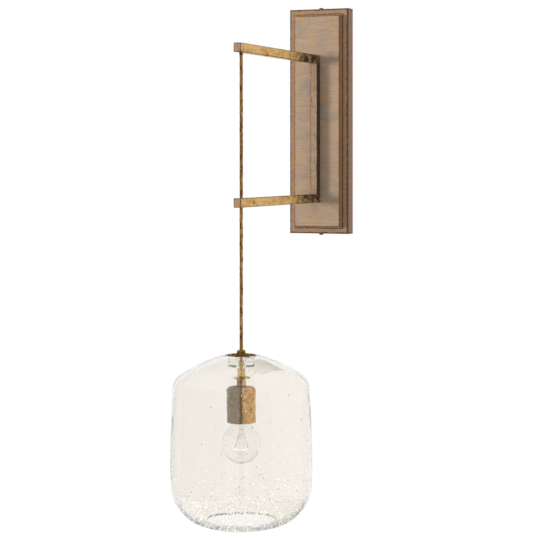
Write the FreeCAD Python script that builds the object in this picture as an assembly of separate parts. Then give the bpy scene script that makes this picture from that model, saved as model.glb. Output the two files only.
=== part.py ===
import FreeCAD, Part
import math
import os

from FreeCAD import Vector

# A wall sconce with a hanging glass shade. All sizes are in millimetres and angles in degrees.
# X runs along the wall, -Y out into the room and +Z up. The origin is the centre of the
# backplate's back face, on the wall. "out" is a distance from the wall, "height" is along Z.

# ---------------------------------------------------------------- driving dimensions

# Fits
thread_gap = 0.05            # radial gap that stands for a thread
slip_gap = 0.1               # radial gap of a running or sliding piece
hole_gap = 0.25              # radial gap of a screw in a plain hole
joint_gap = 0.3              # gap between the lamp and the lampholder that it turns in

# Curves
chord_height = 0.2           # how far a chord may lie from the arc that it stands for
same_place = 1e-6            # points closer than this are one point

# Backplate: a wooden base, hollow behind, with a raised panel on its front
plate_width = 106.0
plate_height = 383.0
plate_depth = 26.0
plate_side_wall = 12.0
plate_front_wall = 8.0
plate_edge_round = 2.2
pocket_corner_radius = 6.0
border_width = 10.3
panel_foot_depth = 2.5
panel_ledge = 1.5
panel_face_depth = 7.0
panel_edge_round = 1.6

# Wall bracket: a steel strip with its ends bent out, inside the backplate
strip_width = 30.0
strip_thickness = 2.0
tab_reach = 16.0
tab_end_gap = 0.4
box_slot_spacing = 88.9
box_slot_length = 14.0
box_slot_width = 4.6
supply_hole_radius = 8.0
supply_hole_height = -20.0
earth_screw_height = 20.0

# Screws that hold the backplate on the wall bracket, one above and one below
plate_screw_radius = 2.0
plate_screw_head_radius = 3.5
plate_screw_head_height = 2.5
plate_screw_engagement = 6.0

# Rectangular bar of the upright and of the arms
bar_width = 12.0
bar_depth = 14.2
bar_wall = 1.2
bar_edge_round = 0.9
end_plate_thickness = 1.6
end_plate_bevel = 0.45

# Bracket
upper_arm_height = 104.5
lower_arm_height = -131.0
rod_reach = 360.0
arm_overhang = 15.5

# Screws that hold the upright on the panel
backing_width = 24.0
backing_thickness = 2.0
backing_end = 15.0
upright_screw_spacing = 160.0
upright_screw_radius = 2.5
upright_screw_head_radius = 4.5
upright_screw_head_height = 3.4
upright_washer_radius = 5.0
upright_washer_thickness = 1.0
insert_radius = 3.5
insert_length = 8.0
insert_spare_thread = 2.0

# Rod and what holds it in the arms
rod_radius = 2.8
rod_bore_radius = 1.7
rod_neck_radius = 2.45
rod_visible = 451.9
rod_thread_length = 5.0
ferrule_radius = 3.2
ferrule_height = 3.0
neck_showing = 1.4
hanger_nut_across = 8.0
hanger_nut_height = 4.0
hanger_nut_spare = 0.6
guide_wall = 0.9
guide_flange = 1.0
guide_flange_thickness = 0.8

# Neck of the shade, from the rod down to the socket cup
collar_height = 10.6
collar_base_radius = 8.0
collar_top_radius = 6.3
collar_crown = 1.6
collar_foot = 2.4
collar_waist_swell = 0.43
nipple_radius = 4.9
nipple_bore_radius = 3.2
nipple_in_collar = 4.2
cap_radius = 20.75
cap_floor_radius = 16.0
cap_rise = 3.4
cap_bulge = 1.4
cap_bulge_height = 1.2
cap_sheet = 1.1
cap_gasket_radius = 15.5
gasket_thickness = 1.2
boss_gasket_radius = 6.8
coupling_radius = 6.0
coupling_length = 13.3
disc_radius = 13.5
disc_flat_radius = 8.5
disc_thickness = 2.0
disc_rim = 0.9
cup_collar_radius = 7.0
cup_collar_height = 7.5
turned_chamfer = 0.6

# Glass shade
shade_wall = 3.5
shade_foot_wall = 6.0
shade_height = 254.0
shade_radius = 108.0
shade_widest_drop = 156.5
shade_side_arc = 1630.0
shade_shoulder_drop = 47.1
shade_shoulder_arc = 27.5
shade_dome_arc = 234.0
shade_corner_arc = 65.0
shade_foot_share = 0.66
shade_mouth_radius = 52.0
shade_mouth_round = 2.8
crest_radius = 24.6
crest_arc = 3.6
crest_rise = 1.6
boss_radius = 20.0
boss_height = 14.1
boss_rib_count = 3
boss_rib_depth = 0.9
boss_root_round = 2.0

# Socket cup
cup_radius = 21.9
cup_height = 58.5
cup_sheet = 1.0
cup_crown_radius = 12.0
cup_shoulder_drop = 6.5
cup_shoulder_out = 6.1
cup_shoulder_down = 2.1
cup_step = 0.5
cup_step_height = 1.2

# Lampholder inside the cup
yoke_width = 12.4
yoke_sheet = 1.5
yoke_bend = 2.0
yoke_drop = 8.0
yoke_inner_reach = 10.0
yoke_foot = 7.0
yoke_nut_across = 14.0
yoke_nut_height = 3.5
nipple_spare = 1.0
yoke_screw_radius = 1.25
yoke_screw_head_radius = 2.1
yoke_screw_head_height = 1.7
yoke_screw_depth = 6.0
holder_radius = 18.6
holder_height = 32.5
holder_roof = 3.5
holder_screw_reach = 16.35
holder_chamfer = 0.8
shell_radius = 14.05
shell_sheet = 0.5
shell_length = 22.0
shell_flange_radius = 11.6
contact_width = 6.0
contact_sheet = 0.5
contact_drop = 1.7
contact_reach = 9.5
contact_pad = 3.0
terminal_screw_radius = 1.25
terminal_head_radius = 2.4
terminal_head_height = 1.7
terminal_screw_depth = 6.0

# Lamp with a screw cap
bulb_radius = 30.0
bulb_length = 105.0
bulb_sheet = 0.9
bulb_neck_radius = 13.4
bulb_neck_showing = 7.4
bulb_neck_in_cap = 5.5
bulb_neck_step = 0.9
cap_shell_radius = 13.2
cap_shell_sheet = 0.4
cap_bead = 0.5
cap_bead_height = 2.0
lamp_cap_height = 26.5
tip_radius = 4.7
tip_height = 1.6
insulator_height = 4.4
insulator_top_radius = 5.4
insulator_base_radius = 11.8
flare_length = 13.0
flare_waist_radius = 5.75
flare_waist_drop = 5.4
stem_radius = 3.0
stem_length = 40.0
button_radius = 4.4
button_length = 9.7
lead_in_radius = 0.35
support_radius = 0.22
support_count = 3
filament_radius = 0.45
filament_arc_radius = 11.0
filament_arc_angle = 210.0
filament_drop = 62.0

# Leads and connectors
lead_radius = 0.65
lead_offset = 0.75
lead_arm_rise = 2.5
lead_front_gap = 2.6
lead_arm_hole_radius = 2.4
lead_bend = 5.0
lead_rod_bend = 3.2
lead_socket_bend = 2.0
grommet_radius = 4.4
grommet_bore_radius = 2.8
grommet_flange_radius = 6.5
grommet_flange_thickness = 1.0
grommet_end = 0.6
connector_radius = 6.5
connector_top_radius = 4.0
connector_length = 24.0
connector_bevel = 1.5
connector_mouth_radius = 4.5
connector_mouth_depth = 7.0
connector_grip_depth = 8.0
connector_place = 27.0
connector_height = 0.0
connector_out = 9.0

# Earthing
earth_screw_radius = 2.0
earth_head_radius = 4.0
earth_head_height = 2.2
earth_ring_radius = 4.2
earth_ring_thickness = 0.8
earth_tongue_width = 3.0
earth_tongue_length = 8.0
earth_lead_radius = 0.8
earth_lead_bend = 4.0
earth_far_height = 48.0
earth_lead_side = 20.0

# ---------------------------------------------------------------- derived places

panel_back = plate_depth
panel_front = plate_depth + panel_foot_depth + panel_face_depth
pocket_floor = plate_depth - plate_front_wall
backing_front = pocket_floor - backing_thickness
half_bar = bar_depth / 2
upright_front = panel_front + bar_depth
lead_upright_out = upright_front - bar_wall - lead_front_gap
upright_top = upper_arm_height - half_bar
upright_bottom = lower_arm_height + half_bar
upright_centre = (upright_top + upright_bottom) / 2
arm_end = rod_reach + arm_overhang
arm_tube_end = arm_end - end_plate_thickness

collar_top = upright_top - rod_visible
collar_base = collar_top - collar_height
cap_underside = collar_base - cap_sheet
boss_top = cap_underside - gasket_thickness
boss_base = boss_top - boss_height
coupling_top = boss_base - gasket_thickness
coupling_base = coupling_top - coupling_length
disc_base = coupling_base - disc_thickness
cup_top = disc_base - cup_collar_height
cup_inside_top = cup_top - cup_sheet
cup_rim = cup_top - cup_height
yoke_plate_base = cup_inside_top - yoke_sheet
yoke_nut_base = yoke_plate_base - yoke_nut_height
nipple_base = yoke_nut_base - nipple_spare
holder_top = yoke_plate_base - yoke_drop
holder_base = holder_top - holder_height
cavity_top = holder_top - holder_roof
lamp_tip = cavity_top - contact_drop - joint_gap
lamp_base = lamp_tip - bulb_length
lamp_cap_rim = lamp_tip - lamp_cap_height
bulb_centre = lamp_base + bulb_radius

up = Vector(0, 0, 1)
outward = Vector(0, -1, 0)


# ---------------------------------------------------------------- shapes used again and again


def at(x, out, height):
    return Vector(x, -out, height)


def block(width, out_start, out_end, bottom, top, centre_x=0.0):
    near, far = sorted((out_start, out_end))
    corner = at(centre_x - width / 2, far, bottom)
    return Part.makeBox(width, far - near, top - bottom, corner)


def outward_cylinder(radius, out_start, out_end, x, height):
    near, far = sorted((out_start, out_end))
    return Part.makeCylinder(radius, far - near, at(x, near, height), outward)


def upright_cylinder(radius, bottom, top, x=0.0, out=rod_reach):
    low, high = sorted((bottom, top))
    return Part.makeCylinder(radius, high - low, at(x, out, low), up)


def ring(radius, bore_radius, bottom, top):
    return upright_cylinder(radius, bottom, top).cut(upright_cylinder(bore_radius, bottom, top))


def chamfered_ring(radius, bore_radius, bottom, top, chamfer):
    outline = Outline(bore_radius, bottom)
    outline.line_to(radius - chamfer, bottom)
    outline.line_to(radius, bottom + chamfer)
    outline.line_to(radius, top - chamfer)
    outline.line_to(radius - chamfer, top)
    outline.line_to(bore_radius, top)
    return outline.turned()


def hexagon_nut(across_flats, bore_radius, bottom, top):
    corner_radius = across_flats / 2 / math.cos(math.pi / 6)
    corners = []
    for index in range(7):
        angle = math.radians(60 * index)
        x = corner_radius * math.cos(angle)
        corners.append(at(x, rod_reach + corner_radius * math.sin(angle), bottom))
    body = Part.Face(Part.makePolygon(corners)).extrude(up * (top - bottom))
    return body.cut(upright_cylinder(bore_radius, bottom, top))


def edges_along(shape, direction, keep=lambda centre: True):
    """The straight edges of a shape that run along a direction and whose middles are kept."""
    found = []
    for edge in shape.Edges:
        if edge.Curve.TypeId != "Part::GeomLine":
            continue
        if edge.Curve.Direction.cross(direction).Length > same_place:
            continue
        if keep(edge.CenterOfMass):
            found.append(edge)
    return found


def edges_in_front(shape, out):
    """The edges that lie wholly on a front face, at a distance from the wall."""
    return [edge for edge in shape.Edges if abs(-edge.CenterOfMass.y - out) < same_place]


def chord_count(radius, turn):
    """How many chords stand for an arc, so that none lies further from it than allowed."""
    widest = 2 * math.acos(max(0, 1 - chord_height / radius))
    return math.ceil(abs(turn) / widest)


def centre_through(first, second, third):
    """The centre of the circle through three points."""
    ax, ay = (second[0] - first[0], second[1] - first[1])
    bx, by = (third[0] - first[0], third[1] - first[1])
    area = 2 * (ax * by - ay * bx)
    a_square = ax**2 + ay**2
    b_square = bx**2 + by**2
    x = (by * a_square - ay * b_square) / area
    y = (ax * b_square - bx * a_square) / area
    return (first[0] + x, first[1] + y)


class Outline:
    """A closed outline, in (radius from the rod's axis, height). Its arcs are laid in chords."""

    def __init__(self, radius, height):
        self.points = [(radius, height)]

    def line_to(self, radius, height):
        if math.dist(self.points[-1], (radius, height)) > same_place:
            self.points.append((radius, height))

    def arc_about(self, centre, end):
        """The shorter way round a centre, from the last point to the end."""
        start = self.points[-1]
        first = math.atan2(start[1] - centre[1], start[0] - centre[0])
        turn = math.atan2(end[1] - centre[1], end[0] - centre[0]) - first
        turn = (turn + math.pi) % (2 * math.pi) - math.pi
        radius = math.dist(centre, start)
        chords = chord_count(radius, turn)
        for index in range(1, chords):
            angle = first + turn * index / chords
            x = centre[0] + radius * math.cos(angle)
            self.line_to(x, centre[1] + radius * math.sin(angle))
        self.line_to(*end)

    def arc_through(self, middle, end):
        centre = centre_through(self.points[-1], middle, end)
        self.arc_about(centre, middle)
        self.arc_about(centre, end)

    def turned(self, angle=360):
        corners = [Vector(radius, -rod_reach, height) for radius, height in self.points]
        if math.dist(self.points[0], self.points[-1]) > same_place:
            corners.append(corners[0])
        face = Part.Face(Part.makePolygon(corners))
        return face.revolve(at(0, rod_reach, 0), up, angle)


def beyond(centre, radius, away_from):
    """The point of a circle that lies straight away from another point."""
    reach = math.dist(centre, away_from)
    radius_x = (centre[0] - away_from[0]) / reach
    radius_z = (centre[1] - away_from[1]) / reach
    return (centre[0] + radius * radius_x, centre[1] + radius * radius_z)


def circle_centre(first, first_reach, second, second_reach):
    """The point at given distances from two others, on the side nearer the axis and lower."""
    apart = math.dist(first, second)
    along = (first_reach**2 - second_reach**2 + apart**2) / (2 * apart)
    aside = math.sqrt(first_reach**2 - along**2)
    unit_x = (second[0] - first[0]) / apart
    unit_z = (second[1] - first[1]) / apart
    foot = (first[0] + along * unit_x, first[1] + along * unit_z)
    return (foot[0] + aside * unit_z, foot[1] - aside * unit_x)


def straight_wire(start, end, radius):
    return Part.makeCylinder(radius, start.distanceToPoint(end), start, end - start)


def wire_along(points, radius):
    """A round wire through points, mitred where it turns."""
    section = Part.Wire(Part.makeCircle(radius, points[0], points[1] - points[0]))
    mitred = 1
    return Part.makePolygon(points).makePipeShell([section], True, False, mitred)


def bent_wire(points, radius, bends):
    """A round wire along straight runs, with a bend at each corner laid in chords."""
    path = [points[0]]
    for before, corner, after, bend in zip(points, points[1:], points[2:], bends):
        arrive = (corner - before).normalize()
        leave = (after - corner).normalize()
        turn = arrive.getAngle(leave)
        reach = bend * math.tan(turn / 2)
        bisector = (leave - arrive).normalize()
        centre = corner + bisector * (bend / math.cos(turn / 2))
        arm = corner - arrive * reach - centre
        axis = arrive.cross(leave)
        chords = chord_count(bend, turn)
        for index in range(chords + 1):
            part_turn = FreeCAD.Rotation(axis, math.degrees(turn) * index / chords)
            path.append(centre + part_turn.multVec(arm))
    path.append(points[-1])
    return wire_along(path, radius)


# ---------------------------------------------------------------- backplate


def screw_heights():
    half = upright_screw_spacing / 2
    return (upright_centre - half, upright_centre + half)


def through_front(radius_of_screw, radius_of_leads, out_start, out_end):
    """What is bored through the backplate's front: two screw holes and one for the leads."""
    bores = [outward_cylinder(radius_of_leads, out_start, out_end, 0, upright_centre)]
    for height in screw_heights():
        bores.append(outward_cylinder(radius_of_screw, out_start, out_end, 0, height))
    return bores


def make_backplate():
    half = plate_height / 2
    base = block(plate_width, 0, plate_depth, -half, half)
    corners = edges_along(base, up)
    fronts = edges_in_front(base, plate_depth)
    base = base.makeFillet(plate_edge_round, corners + fronts)
    inner_half = half - plate_side_wall
    inner_width = plate_width - 2 * plate_side_wall
    pocket = block(inner_width, 0, pocket_floor, -inner_half, inner_half)
    pocket = pocket.makeFillet(pocket_corner_radius, edges_along(pocket, outward))
    cuts = [pocket]
    cuts += through_front(upright_screw_radius + hole_gap, grommet_radius, 0, plate_depth)
    screw_radius = plate_screw_radius + hole_gap
    cuts.append(upright_cylinder(screw_radius, -half, half, 0, plate_depth / 2))
    return base.cut(cuts)


def make_raised_panel():
    half_width = plate_width / 2 - border_width
    half_height = plate_height / 2 - border_width
    foot_front = panel_back + panel_foot_depth
    foot = block(2 * half_width, panel_back, foot_front, -half_height, half_height)
    face_width = 2 * (half_width - panel_ledge)
    face_half = half_height - panel_ledge
    face = block(face_width, foot_front, panel_front, -face_half, face_half)
    fronts = edges_in_front(face, panel_front)
    face = face.makeFillet(panel_edge_round, fronts)
    panel = foot.fuse(face).removeSplitter()
    screw_radius = upright_screw_radius + hole_gap
    return panel.cut(through_front(screw_radius, grommet_radius, panel_back, panel_front))


def make_wall_bracket():
    end = plate_height / 2 - plate_side_wall - tab_end_gap
    strip = block(strip_width, 0, strip_thickness, -end, end)
    upper_tab = block(strip_width, 0, tab_reach, end - strip_thickness, end)
    lower_tab = block(strip_width, 0, tab_reach, -end, strip_thickness - end)
    bracket = strip.fuse([upper_tab, lower_tab]).removeSplitter()
    cuts = []
    slot_radius = box_slot_width / 2
    half_run = (box_slot_length - box_slot_width) / 2
    for side in (-1, 1):
        middle = side * box_slot_spacing / 2
        cuts.append(block(box_slot_width, 0, strip_thickness, middle - half_run, middle + half_run))
        for end_side in (-1, 1):
            height = middle + end_side * half_run
            cuts.append(outward_cylinder(slot_radius, 0, strip_thickness, 0, height))
    cuts.append(outward_cylinder(supply_hole_radius, 0, strip_thickness, 0, supply_hole_height))
    earth_radius = earth_screw_radius + thread_gap
    cuts.append(outward_cylinder(earth_radius, 0, strip_thickness, 0, earth_screw_height))
    screw_radius = plate_screw_radius + thread_gap
    cuts.append(upright_cylinder(screw_radius, -end, end, 0, plate_depth / 2))
    return bracket.cut(cuts)


def make_plate_screws():
    half = plate_height / 2
    length = plate_side_wall + tab_end_gap + plate_screw_engagement
    middle = plate_depth / 2
    screws = []
    for side in (-1, 1):
        surface = side * half
        head_end = side * (half + plate_screw_head_height)
        tip = side * (half - length)
        head = upright_cylinder(plate_screw_head_radius, surface, head_end, 0, middle)
        shank = upright_cylinder(plate_screw_radius, surface, tip, 0, middle)
        screws.append(head.fuse(shank).removeSplitter())
    return Part.makeCompound(screws)


def make_backing_strip():
    half = upright_screw_spacing / 2 + backing_end
    bottom = upright_centre - half
    strip = block(backing_width, backing_front, pocket_floor, bottom, upright_centre + half)
    screw_radius = upright_screw_radius + hole_gap
    cuts = through_front(screw_radius, grommet_radius, backing_front, pocket_floor)
    earth_radius = earth_screw_radius + thread_gap
    cuts.append(outward_cylinder(earth_radius, backing_front, pocket_floor, 0, earth_far_height))
    return strip.cut(cuts)


def make_upright_washers():
    start = backing_front - upright_washer_thickness
    washers = []
    for height in screw_heights():
        disc = outward_cylinder(upright_washer_radius, start, backing_front, 0, height)
        bore_radius = upright_screw_radius + slip_gap
        washers.append(disc.cut(outward_cylinder(bore_radius, start, backing_front, 0, height)))
    return Part.makeCompound(washers)


def make_upright_screws():
    seat = backing_front - upright_washer_thickness
    tip = panel_front + insert_length - insert_spare_thread
    screws = []
    for height in screw_heights():
        head_start = seat - upright_screw_head_height
        head = outward_cylinder(upright_screw_head_radius, head_start, seat, 0, height)
        shank = outward_cylinder(upright_screw_radius, seat, tip, 0, height)
        screws.append(head.fuse(shank).removeSplitter())
    return Part.makeCompound(screws)


def make_upright_inserts():
    end = panel_front + insert_length
    inserts = []
    for height in screw_heights():
        body = outward_cylinder(insert_radius, panel_front, end, 0, height)
        bore_radius = upright_screw_radius + thread_gap
        inserts.append(body.cut(outward_cylinder(bore_radius, panel_front, end, 0, height)))
    return Part.makeCompound(inserts)


# ---------------------------------------------------------------- bracket


def round_bar_edges(bar, direction):
    return bar.makeFillet(bar_edge_round, edges_along(bar, direction))


def make_upright():
    bar = block(bar_width, panel_front, upright_front, upright_bottom, upright_top)
    bar = round_bar_edges(bar, up)
    inner_width = bar_width - 2 * bar_wall
    inner_front = upright_front - bar_wall
    inner_back = panel_front + bar_wall
    cuts = [block(inner_width, inner_back, inner_front, upright_bottom, upright_top)]
    cuts += through_front(insert_radius + thread_gap, grommet_radius, panel_front, inner_back)
    return bar.cut(cuts)


def arm_tube(height):
    bottom = height - half_bar
    top = height + half_bar
    bar = block(bar_width, panel_front, arm_tube_end, bottom, top)
    bar = round_bar_edges(bar, outward)
    inner_width = bar_width - 2 * bar_wall
    inner_bottom = bottom + bar_wall
    return bar.cut(block(inner_width, panel_front, arm_tube_end, inner_bottom, top - bar_wall))


def make_upper_arm():
    floor_top = upright_top + bar_wall
    lead_hole = upright_cylinder(
        lead_arm_hole_radius, upright_top, floor_top, 0, lead_upright_out
    )
    rod_hole = upright_cylinder(rod_neck_radius + hole_gap, upright_top, floor_top)
    return arm_tube(upper_arm_height).cut([lead_hole, rod_hole])


def make_lower_arm():
    hole_radius = rod_radius + slip_gap + guide_wall
    bottom = lower_arm_height - half_bar
    return arm_tube(lower_arm_height).cut(upright_cylinder(hole_radius, bottom, upright_bottom))


def make_arm_end(height):
    plate = block(bar_width, arm_tube_end, arm_end, height - half_bar, height + half_bar)
    plate = plate.makeFillet(bar_edge_round, edges_along(plate, outward))
    return plate.makeChamfer(end_plate_bevel, edges_in_front(plate, arm_end))


# ---------------------------------------------------------------- rod


def make_rod():
    shoulder = upright_top - ferrule_height - neck_showing
    top = upright_top + bar_wall + hanger_nut_height + hanger_nut_spare
    bottom = collar_top - rod_thread_length
    body = upright_cylinder(rod_radius, bottom, shoulder)
    neck = upright_cylinder(rod_neck_radius, shoulder, top)
    return body.fuse(neck).removeSplitter().cut(upright_cylinder(rod_bore_radius, bottom, top))


def make_rod_ferrule():
    bore_radius = rod_neck_radius + thread_gap
    bottom = upright_top - ferrule_height
    return chamfered_ring(ferrule_radius, bore_radius, bottom, upright_top, turned_chamfer / 2)


def make_rod_hanger_nut():
    bottom = upright_top + bar_wall
    bore_radius = rod_neck_radius + thread_gap
    return hexagon_nut(hanger_nut_across, bore_radius, bottom, bottom + hanger_nut_height)


def make_rod_guides():
    bore_radius = rod_radius + slip_gap
    sleeve_radius = bore_radius + guide_wall
    flange_radius = sleeve_radius + guide_flange
    bottom = lower_arm_height - half_bar
    lower_flange = bottom + bar_wall
    upper_flange = upright_bottom - bar_wall
    lower = ring(sleeve_radius, bore_radius, bottom, lower_flange)
    lower_seat = ring(
        flange_radius, bore_radius, lower_flange, lower_flange + guide_flange_thickness
    )
    upper = ring(sleeve_radius, bore_radius, upper_flange, upright_bottom)
    upper_seat = ring(
        flange_radius, bore_radius, upper_flange - guide_flange_thickness, upper_flange
    )
    guides = [lower.fuse(lower_seat), upper.fuse(upper_seat)]
    return Part.makeCompound([guide.removeSplitter() for guide in guides])


# ---------------------------------------------------------------- neck of the shade


def make_collar_nut():
    """A bell-shaped nut: a domed crown, a waist that flares and a short upright foot."""
    rod_bore = rod_radius + thread_gap
    nipple_bore = nipple_radius + thread_gap
    step = collar_base + nipple_in_collar
    crown = collar_top - collar_crown
    foot = collar_base + collar_foot
    waist = (collar_top_radius + collar_waist_swell, (crown + foot) / 2)
    outline = Outline(nipple_bore, collar_base)
    outline.line_to(collar_base_radius, collar_base)
    outline.line_to(collar_base_radius, foot)
    outline.arc_through(waist, (collar_top_radius, crown))
    crown_centre = (collar_top_radius - collar_crown, crown)
    outline.arc_about(crown_centre, (collar_top_radius - collar_crown, collar_top))
    outline.line_to(rod_bore, collar_top)
    outline.line_to(rod_bore, step)
    outline.line_to(nipple_bore, step)
    return outline.turned()


def make_nipple():
    top = collar_base + nipple_in_collar
    return chamfered_ring(nipple_radius, nipple_bore_radius, nipple_base, top, turned_chamfer / 2)


def make_shade_cap():
    """A pressed saucer: a flat floor that curves up to a rounded rim."""
    bore = nipple_radius + slip_gap
    floor = collar_base
    rim_height = floor + cap_rise
    rim_centre = (cap_radius - cap_sheet / 2, rim_height - cap_sheet / 2)
    mid_radius = (cap_floor_radius + cap_radius) / 2 + cap_bulge
    under_mid = (mid_radius, cap_underside + cap_bulge_height)
    over_mid = (mid_radius - cap_sheet, floor + cap_bulge_height)
    outline = Outline(bore, cap_underside)
    outline.line_to(cap_floor_radius, cap_underside)
    outline.arc_through(under_mid, (cap_radius, rim_centre[1]))
    outline.arc_about(rim_centre, (rim_centre[0], rim_height))
    outline.arc_about(rim_centre, (cap_radius - cap_sheet, rim_centre[1]))
    outline.arc_through(over_mid, (cap_floor_radius - cap_sheet, floor))
    outline.line_to(bore, floor)
    return outline.turned()


def make_cap_gasket():
    return ring(cap_gasket_radius, nipple_radius + slip_gap, boss_top, cap_underside)


def make_boss_gasket():
    return ring(boss_gasket_radius, nipple_radius + slip_gap, coupling_top, boss_base)


def make_neck_coupling():
    bore_radius = nipple_radius + thread_gap
    return chamfered_ring(
        coupling_radius, bore_radius, coupling_base, coupling_top, turned_chamfer
    )


def make_disc_washer():
    """A disc that thins towards a rounded rim."""
    bore = nipple_radius + slip_gap
    middle = disc_base + disc_thickness / 2
    rim_start = disc_radius - disc_rim / 2
    outline = Outline(bore, disc_base)
    outline.line_to(disc_flat_radius, disc_base)
    outline.line_to(rim_start, middle - disc_rim / 2)
    outline.arc_through((disc_radius, middle), (rim_start, middle + disc_rim / 2))
    outline.line_to(disc_flat_radius, coupling_base)
    outline.line_to(bore, coupling_base)
    return outline.turned()


def make_cup_collar():
    bore_radius = nipple_radius + thread_gap
    return chamfered_ring(cup_collar_radius, bore_radius, cup_top, disc_base, turned_chamfer)


# ---------------------------------------------------------------- glass shade


class ShadeCurves:
    """The tangent circles of the shade's outer side: crest, dome, shoulder, side and corner."""

    def __init__(self):
        self.bottom = boss_top - shade_height
        self.side = (shade_radius - shade_side_arc, boss_top - shade_widest_drop)
        self.crest = (crest_radius, boss_top + crest_rise)
        self.shoulder = self.inside_side(shade_shoulder_arc, boss_top - shade_shoulder_drop, 0)
        self.corner = self.inside_side(shade_corner_arc, self.bottom + shade_corner_arc, 0)
        self.dome = circle_centre(
            self.crest,
            shade_dome_arc - crest_arc,
            self.shoulder,
            shade_dome_arc - shade_shoulder_arc,
        )

    def inside_side(self, arc, height, wall):
        """The centre of a circle at a height that touches the side's circle from inside."""
        reach = shade_side_arc - wall - arc
        return (self.side[0] + math.sqrt(reach**2 - (height - self.side[1]) ** 2), height)


    def zone_heights(self):
        """Where dome, shoulder, side, corner and foot meet, from the top down."""
        dome_end = beyond(self.shoulder, shade_shoulder_arc, self.dome)[1]
        foot = self.corner[1] - shade_foot_share * shade_corner_arc
        return (dome_end, self.shoulder[1], self.corner[1], foot)


def height_on_circle(centre, arc, radius, side):
    return centre[1] + side * math.sqrt(arc**2 - (radius - centre[0]) ** 2)


def make_glass_shade():
    """Blown glass: a ribbed neck boss, a domed top, slightly barrelled sides and a turned-in mouth."""
    curves = ShadeCurves()
    bore = nipple_radius + hole_gap
    seat_radius = crest_radius - crest_arc
    mouth_start = shade_mouth_radius + shade_mouth_round

    outline = Outline(bore, boss_top)
    outline.line_to(seat_radius, boss_top)
    outline.line_to(seat_radius, curves.crest[1])
    crest_top = (crest_radius, curves.crest[1] + crest_arc)
    outline.arc_about(curves.crest, crest_top)
    outline.arc_about(curves.crest, beyond(curves.crest, crest_arc, curves.dome))
    outline.arc_about(curves.dome, beyond(curves.shoulder, shade_shoulder_arc, curves.dome))
    outline.arc_about(curves.shoulder, beyond(curves.shoulder, shade_shoulder_arc, curves.side))
    outline.arc_about(curves.side, beyond(curves.corner, shade_corner_arc, curves.side))
    outer_mouth = height_on_circle(curves.corner, shade_corner_arc, mouth_start, -1)
    outline.arc_about(curves.corner, (mouth_start, outer_mouth))

    inner_arc = shade_corner_arc - (shade_wall + shade_foot_wall) / 2
    inner_height = curves.bottom + shade_foot_wall + inner_arc
    inner_corner = curves.inside_side(inner_arc, inner_height, shade_wall)
    inner_mouth = height_on_circle(inner_corner, inner_arc, mouth_start, -1)
    mouth_middle = (shade_mouth_radius, (outer_mouth + inner_mouth) / 2)
    outline.arc_through(mouth_middle, (mouth_start, inner_mouth))
    outline.arc_about(inner_corner, beyond(inner_corner, inner_arc, curves.side))
    inner_shoulder = shade_shoulder_arc - shade_wall
    outline.arc_about(curves.side, beyond(curves.shoulder, inner_shoulder, curves.side))
    outline.arc_about(curves.shoulder, beyond(curves.shoulder, inner_shoulder, curves.dome))
    root_radius = boss_radius + boss_root_round
    root_height = height_on_circle(curves.dome, shade_dome_arc - shade_wall, root_radius, 1)
    outline.arc_about(curves.dome, (root_radius, root_height))
    boss_side_top = root_height - boss_root_round
    outline.arc_about((root_radius, boss_side_top), (boss_radius, boss_side_top))
    add_boss_ribs(outline, boss_side_top)
    outline.line_to(bore, boss_base)
    half = outline.turned(180)
    glass = half.fuse(half.mirror(at(0, rod_reach, 0), outward))
    return in_zones(glass, curves.zone_heights())


def in_zones(glass, heights):
    """The one blown piece of glass, laid out as rings that lie face to face."""
    levels = [glass.BoundBox.ZMax, *heights, glass.BoundBox.ZMin]
    zones = []
    for top, bottom in zip(levels, levels[1:]):
        zones.append(glass.common(upright_cylinder(2 * shade_radius, bottom, top)))
    return Part.makeCompound(zones)


def add_boss_ribs(outline, top):
    """The boss's side is a row of rounded ribs, one below the other."""
    pitch = (top - boss_base) / boss_rib_count
    groove_radius = boss_radius - boss_rib_depth
    for index in range(boss_rib_count):
        rib_end = top - (index + 1) * pitch
        outline.arc_through((boss_radius, rib_end + pitch / 2), (groove_radius, rib_end))


# ---------------------------------------------------------------- socket cup and lampholder


def make_socket_cup():
    """A spun cup: a flat crown, a rounded shoulder, a small step and a straight side."""
    bore = nipple_radius + slip_gap
    shoulder_end = cup_top - cup_shoulder_drop
    step_radius = cup_radius - cup_step
    outer_mid = (cup_crown_radius + cup_shoulder_out, cup_top - cup_shoulder_down)
    step_end = shoulder_end - cup_step_height
    inner_radius = cup_radius - cup_sheet
    inner_mid = (outer_mid[0] - cup_sheet / 2, outer_mid[1] - cup_sheet)
    outline = Outline(bore, cup_top)
    outline.line_to(cup_crown_radius, cup_top)
    outline.arc_through(outer_mid, (step_radius, shoulder_end))
    outline.line_to(cup_radius, step_end)
    outline.line_to(cup_radius, cup_rim)
    outline.line_to(inner_radius, cup_rim)
    outline.line_to(inner_radius, step_end)
    outline.line_to(step_radius - cup_sheet, shoulder_end - cup_sheet / 2)
    outline.arc_through(inner_mid, (cup_crown_radius - cup_sheet / 2, cup_inside_top))
    outline.line_to(bore, cup_inside_top)
    return outline.turned()


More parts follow.
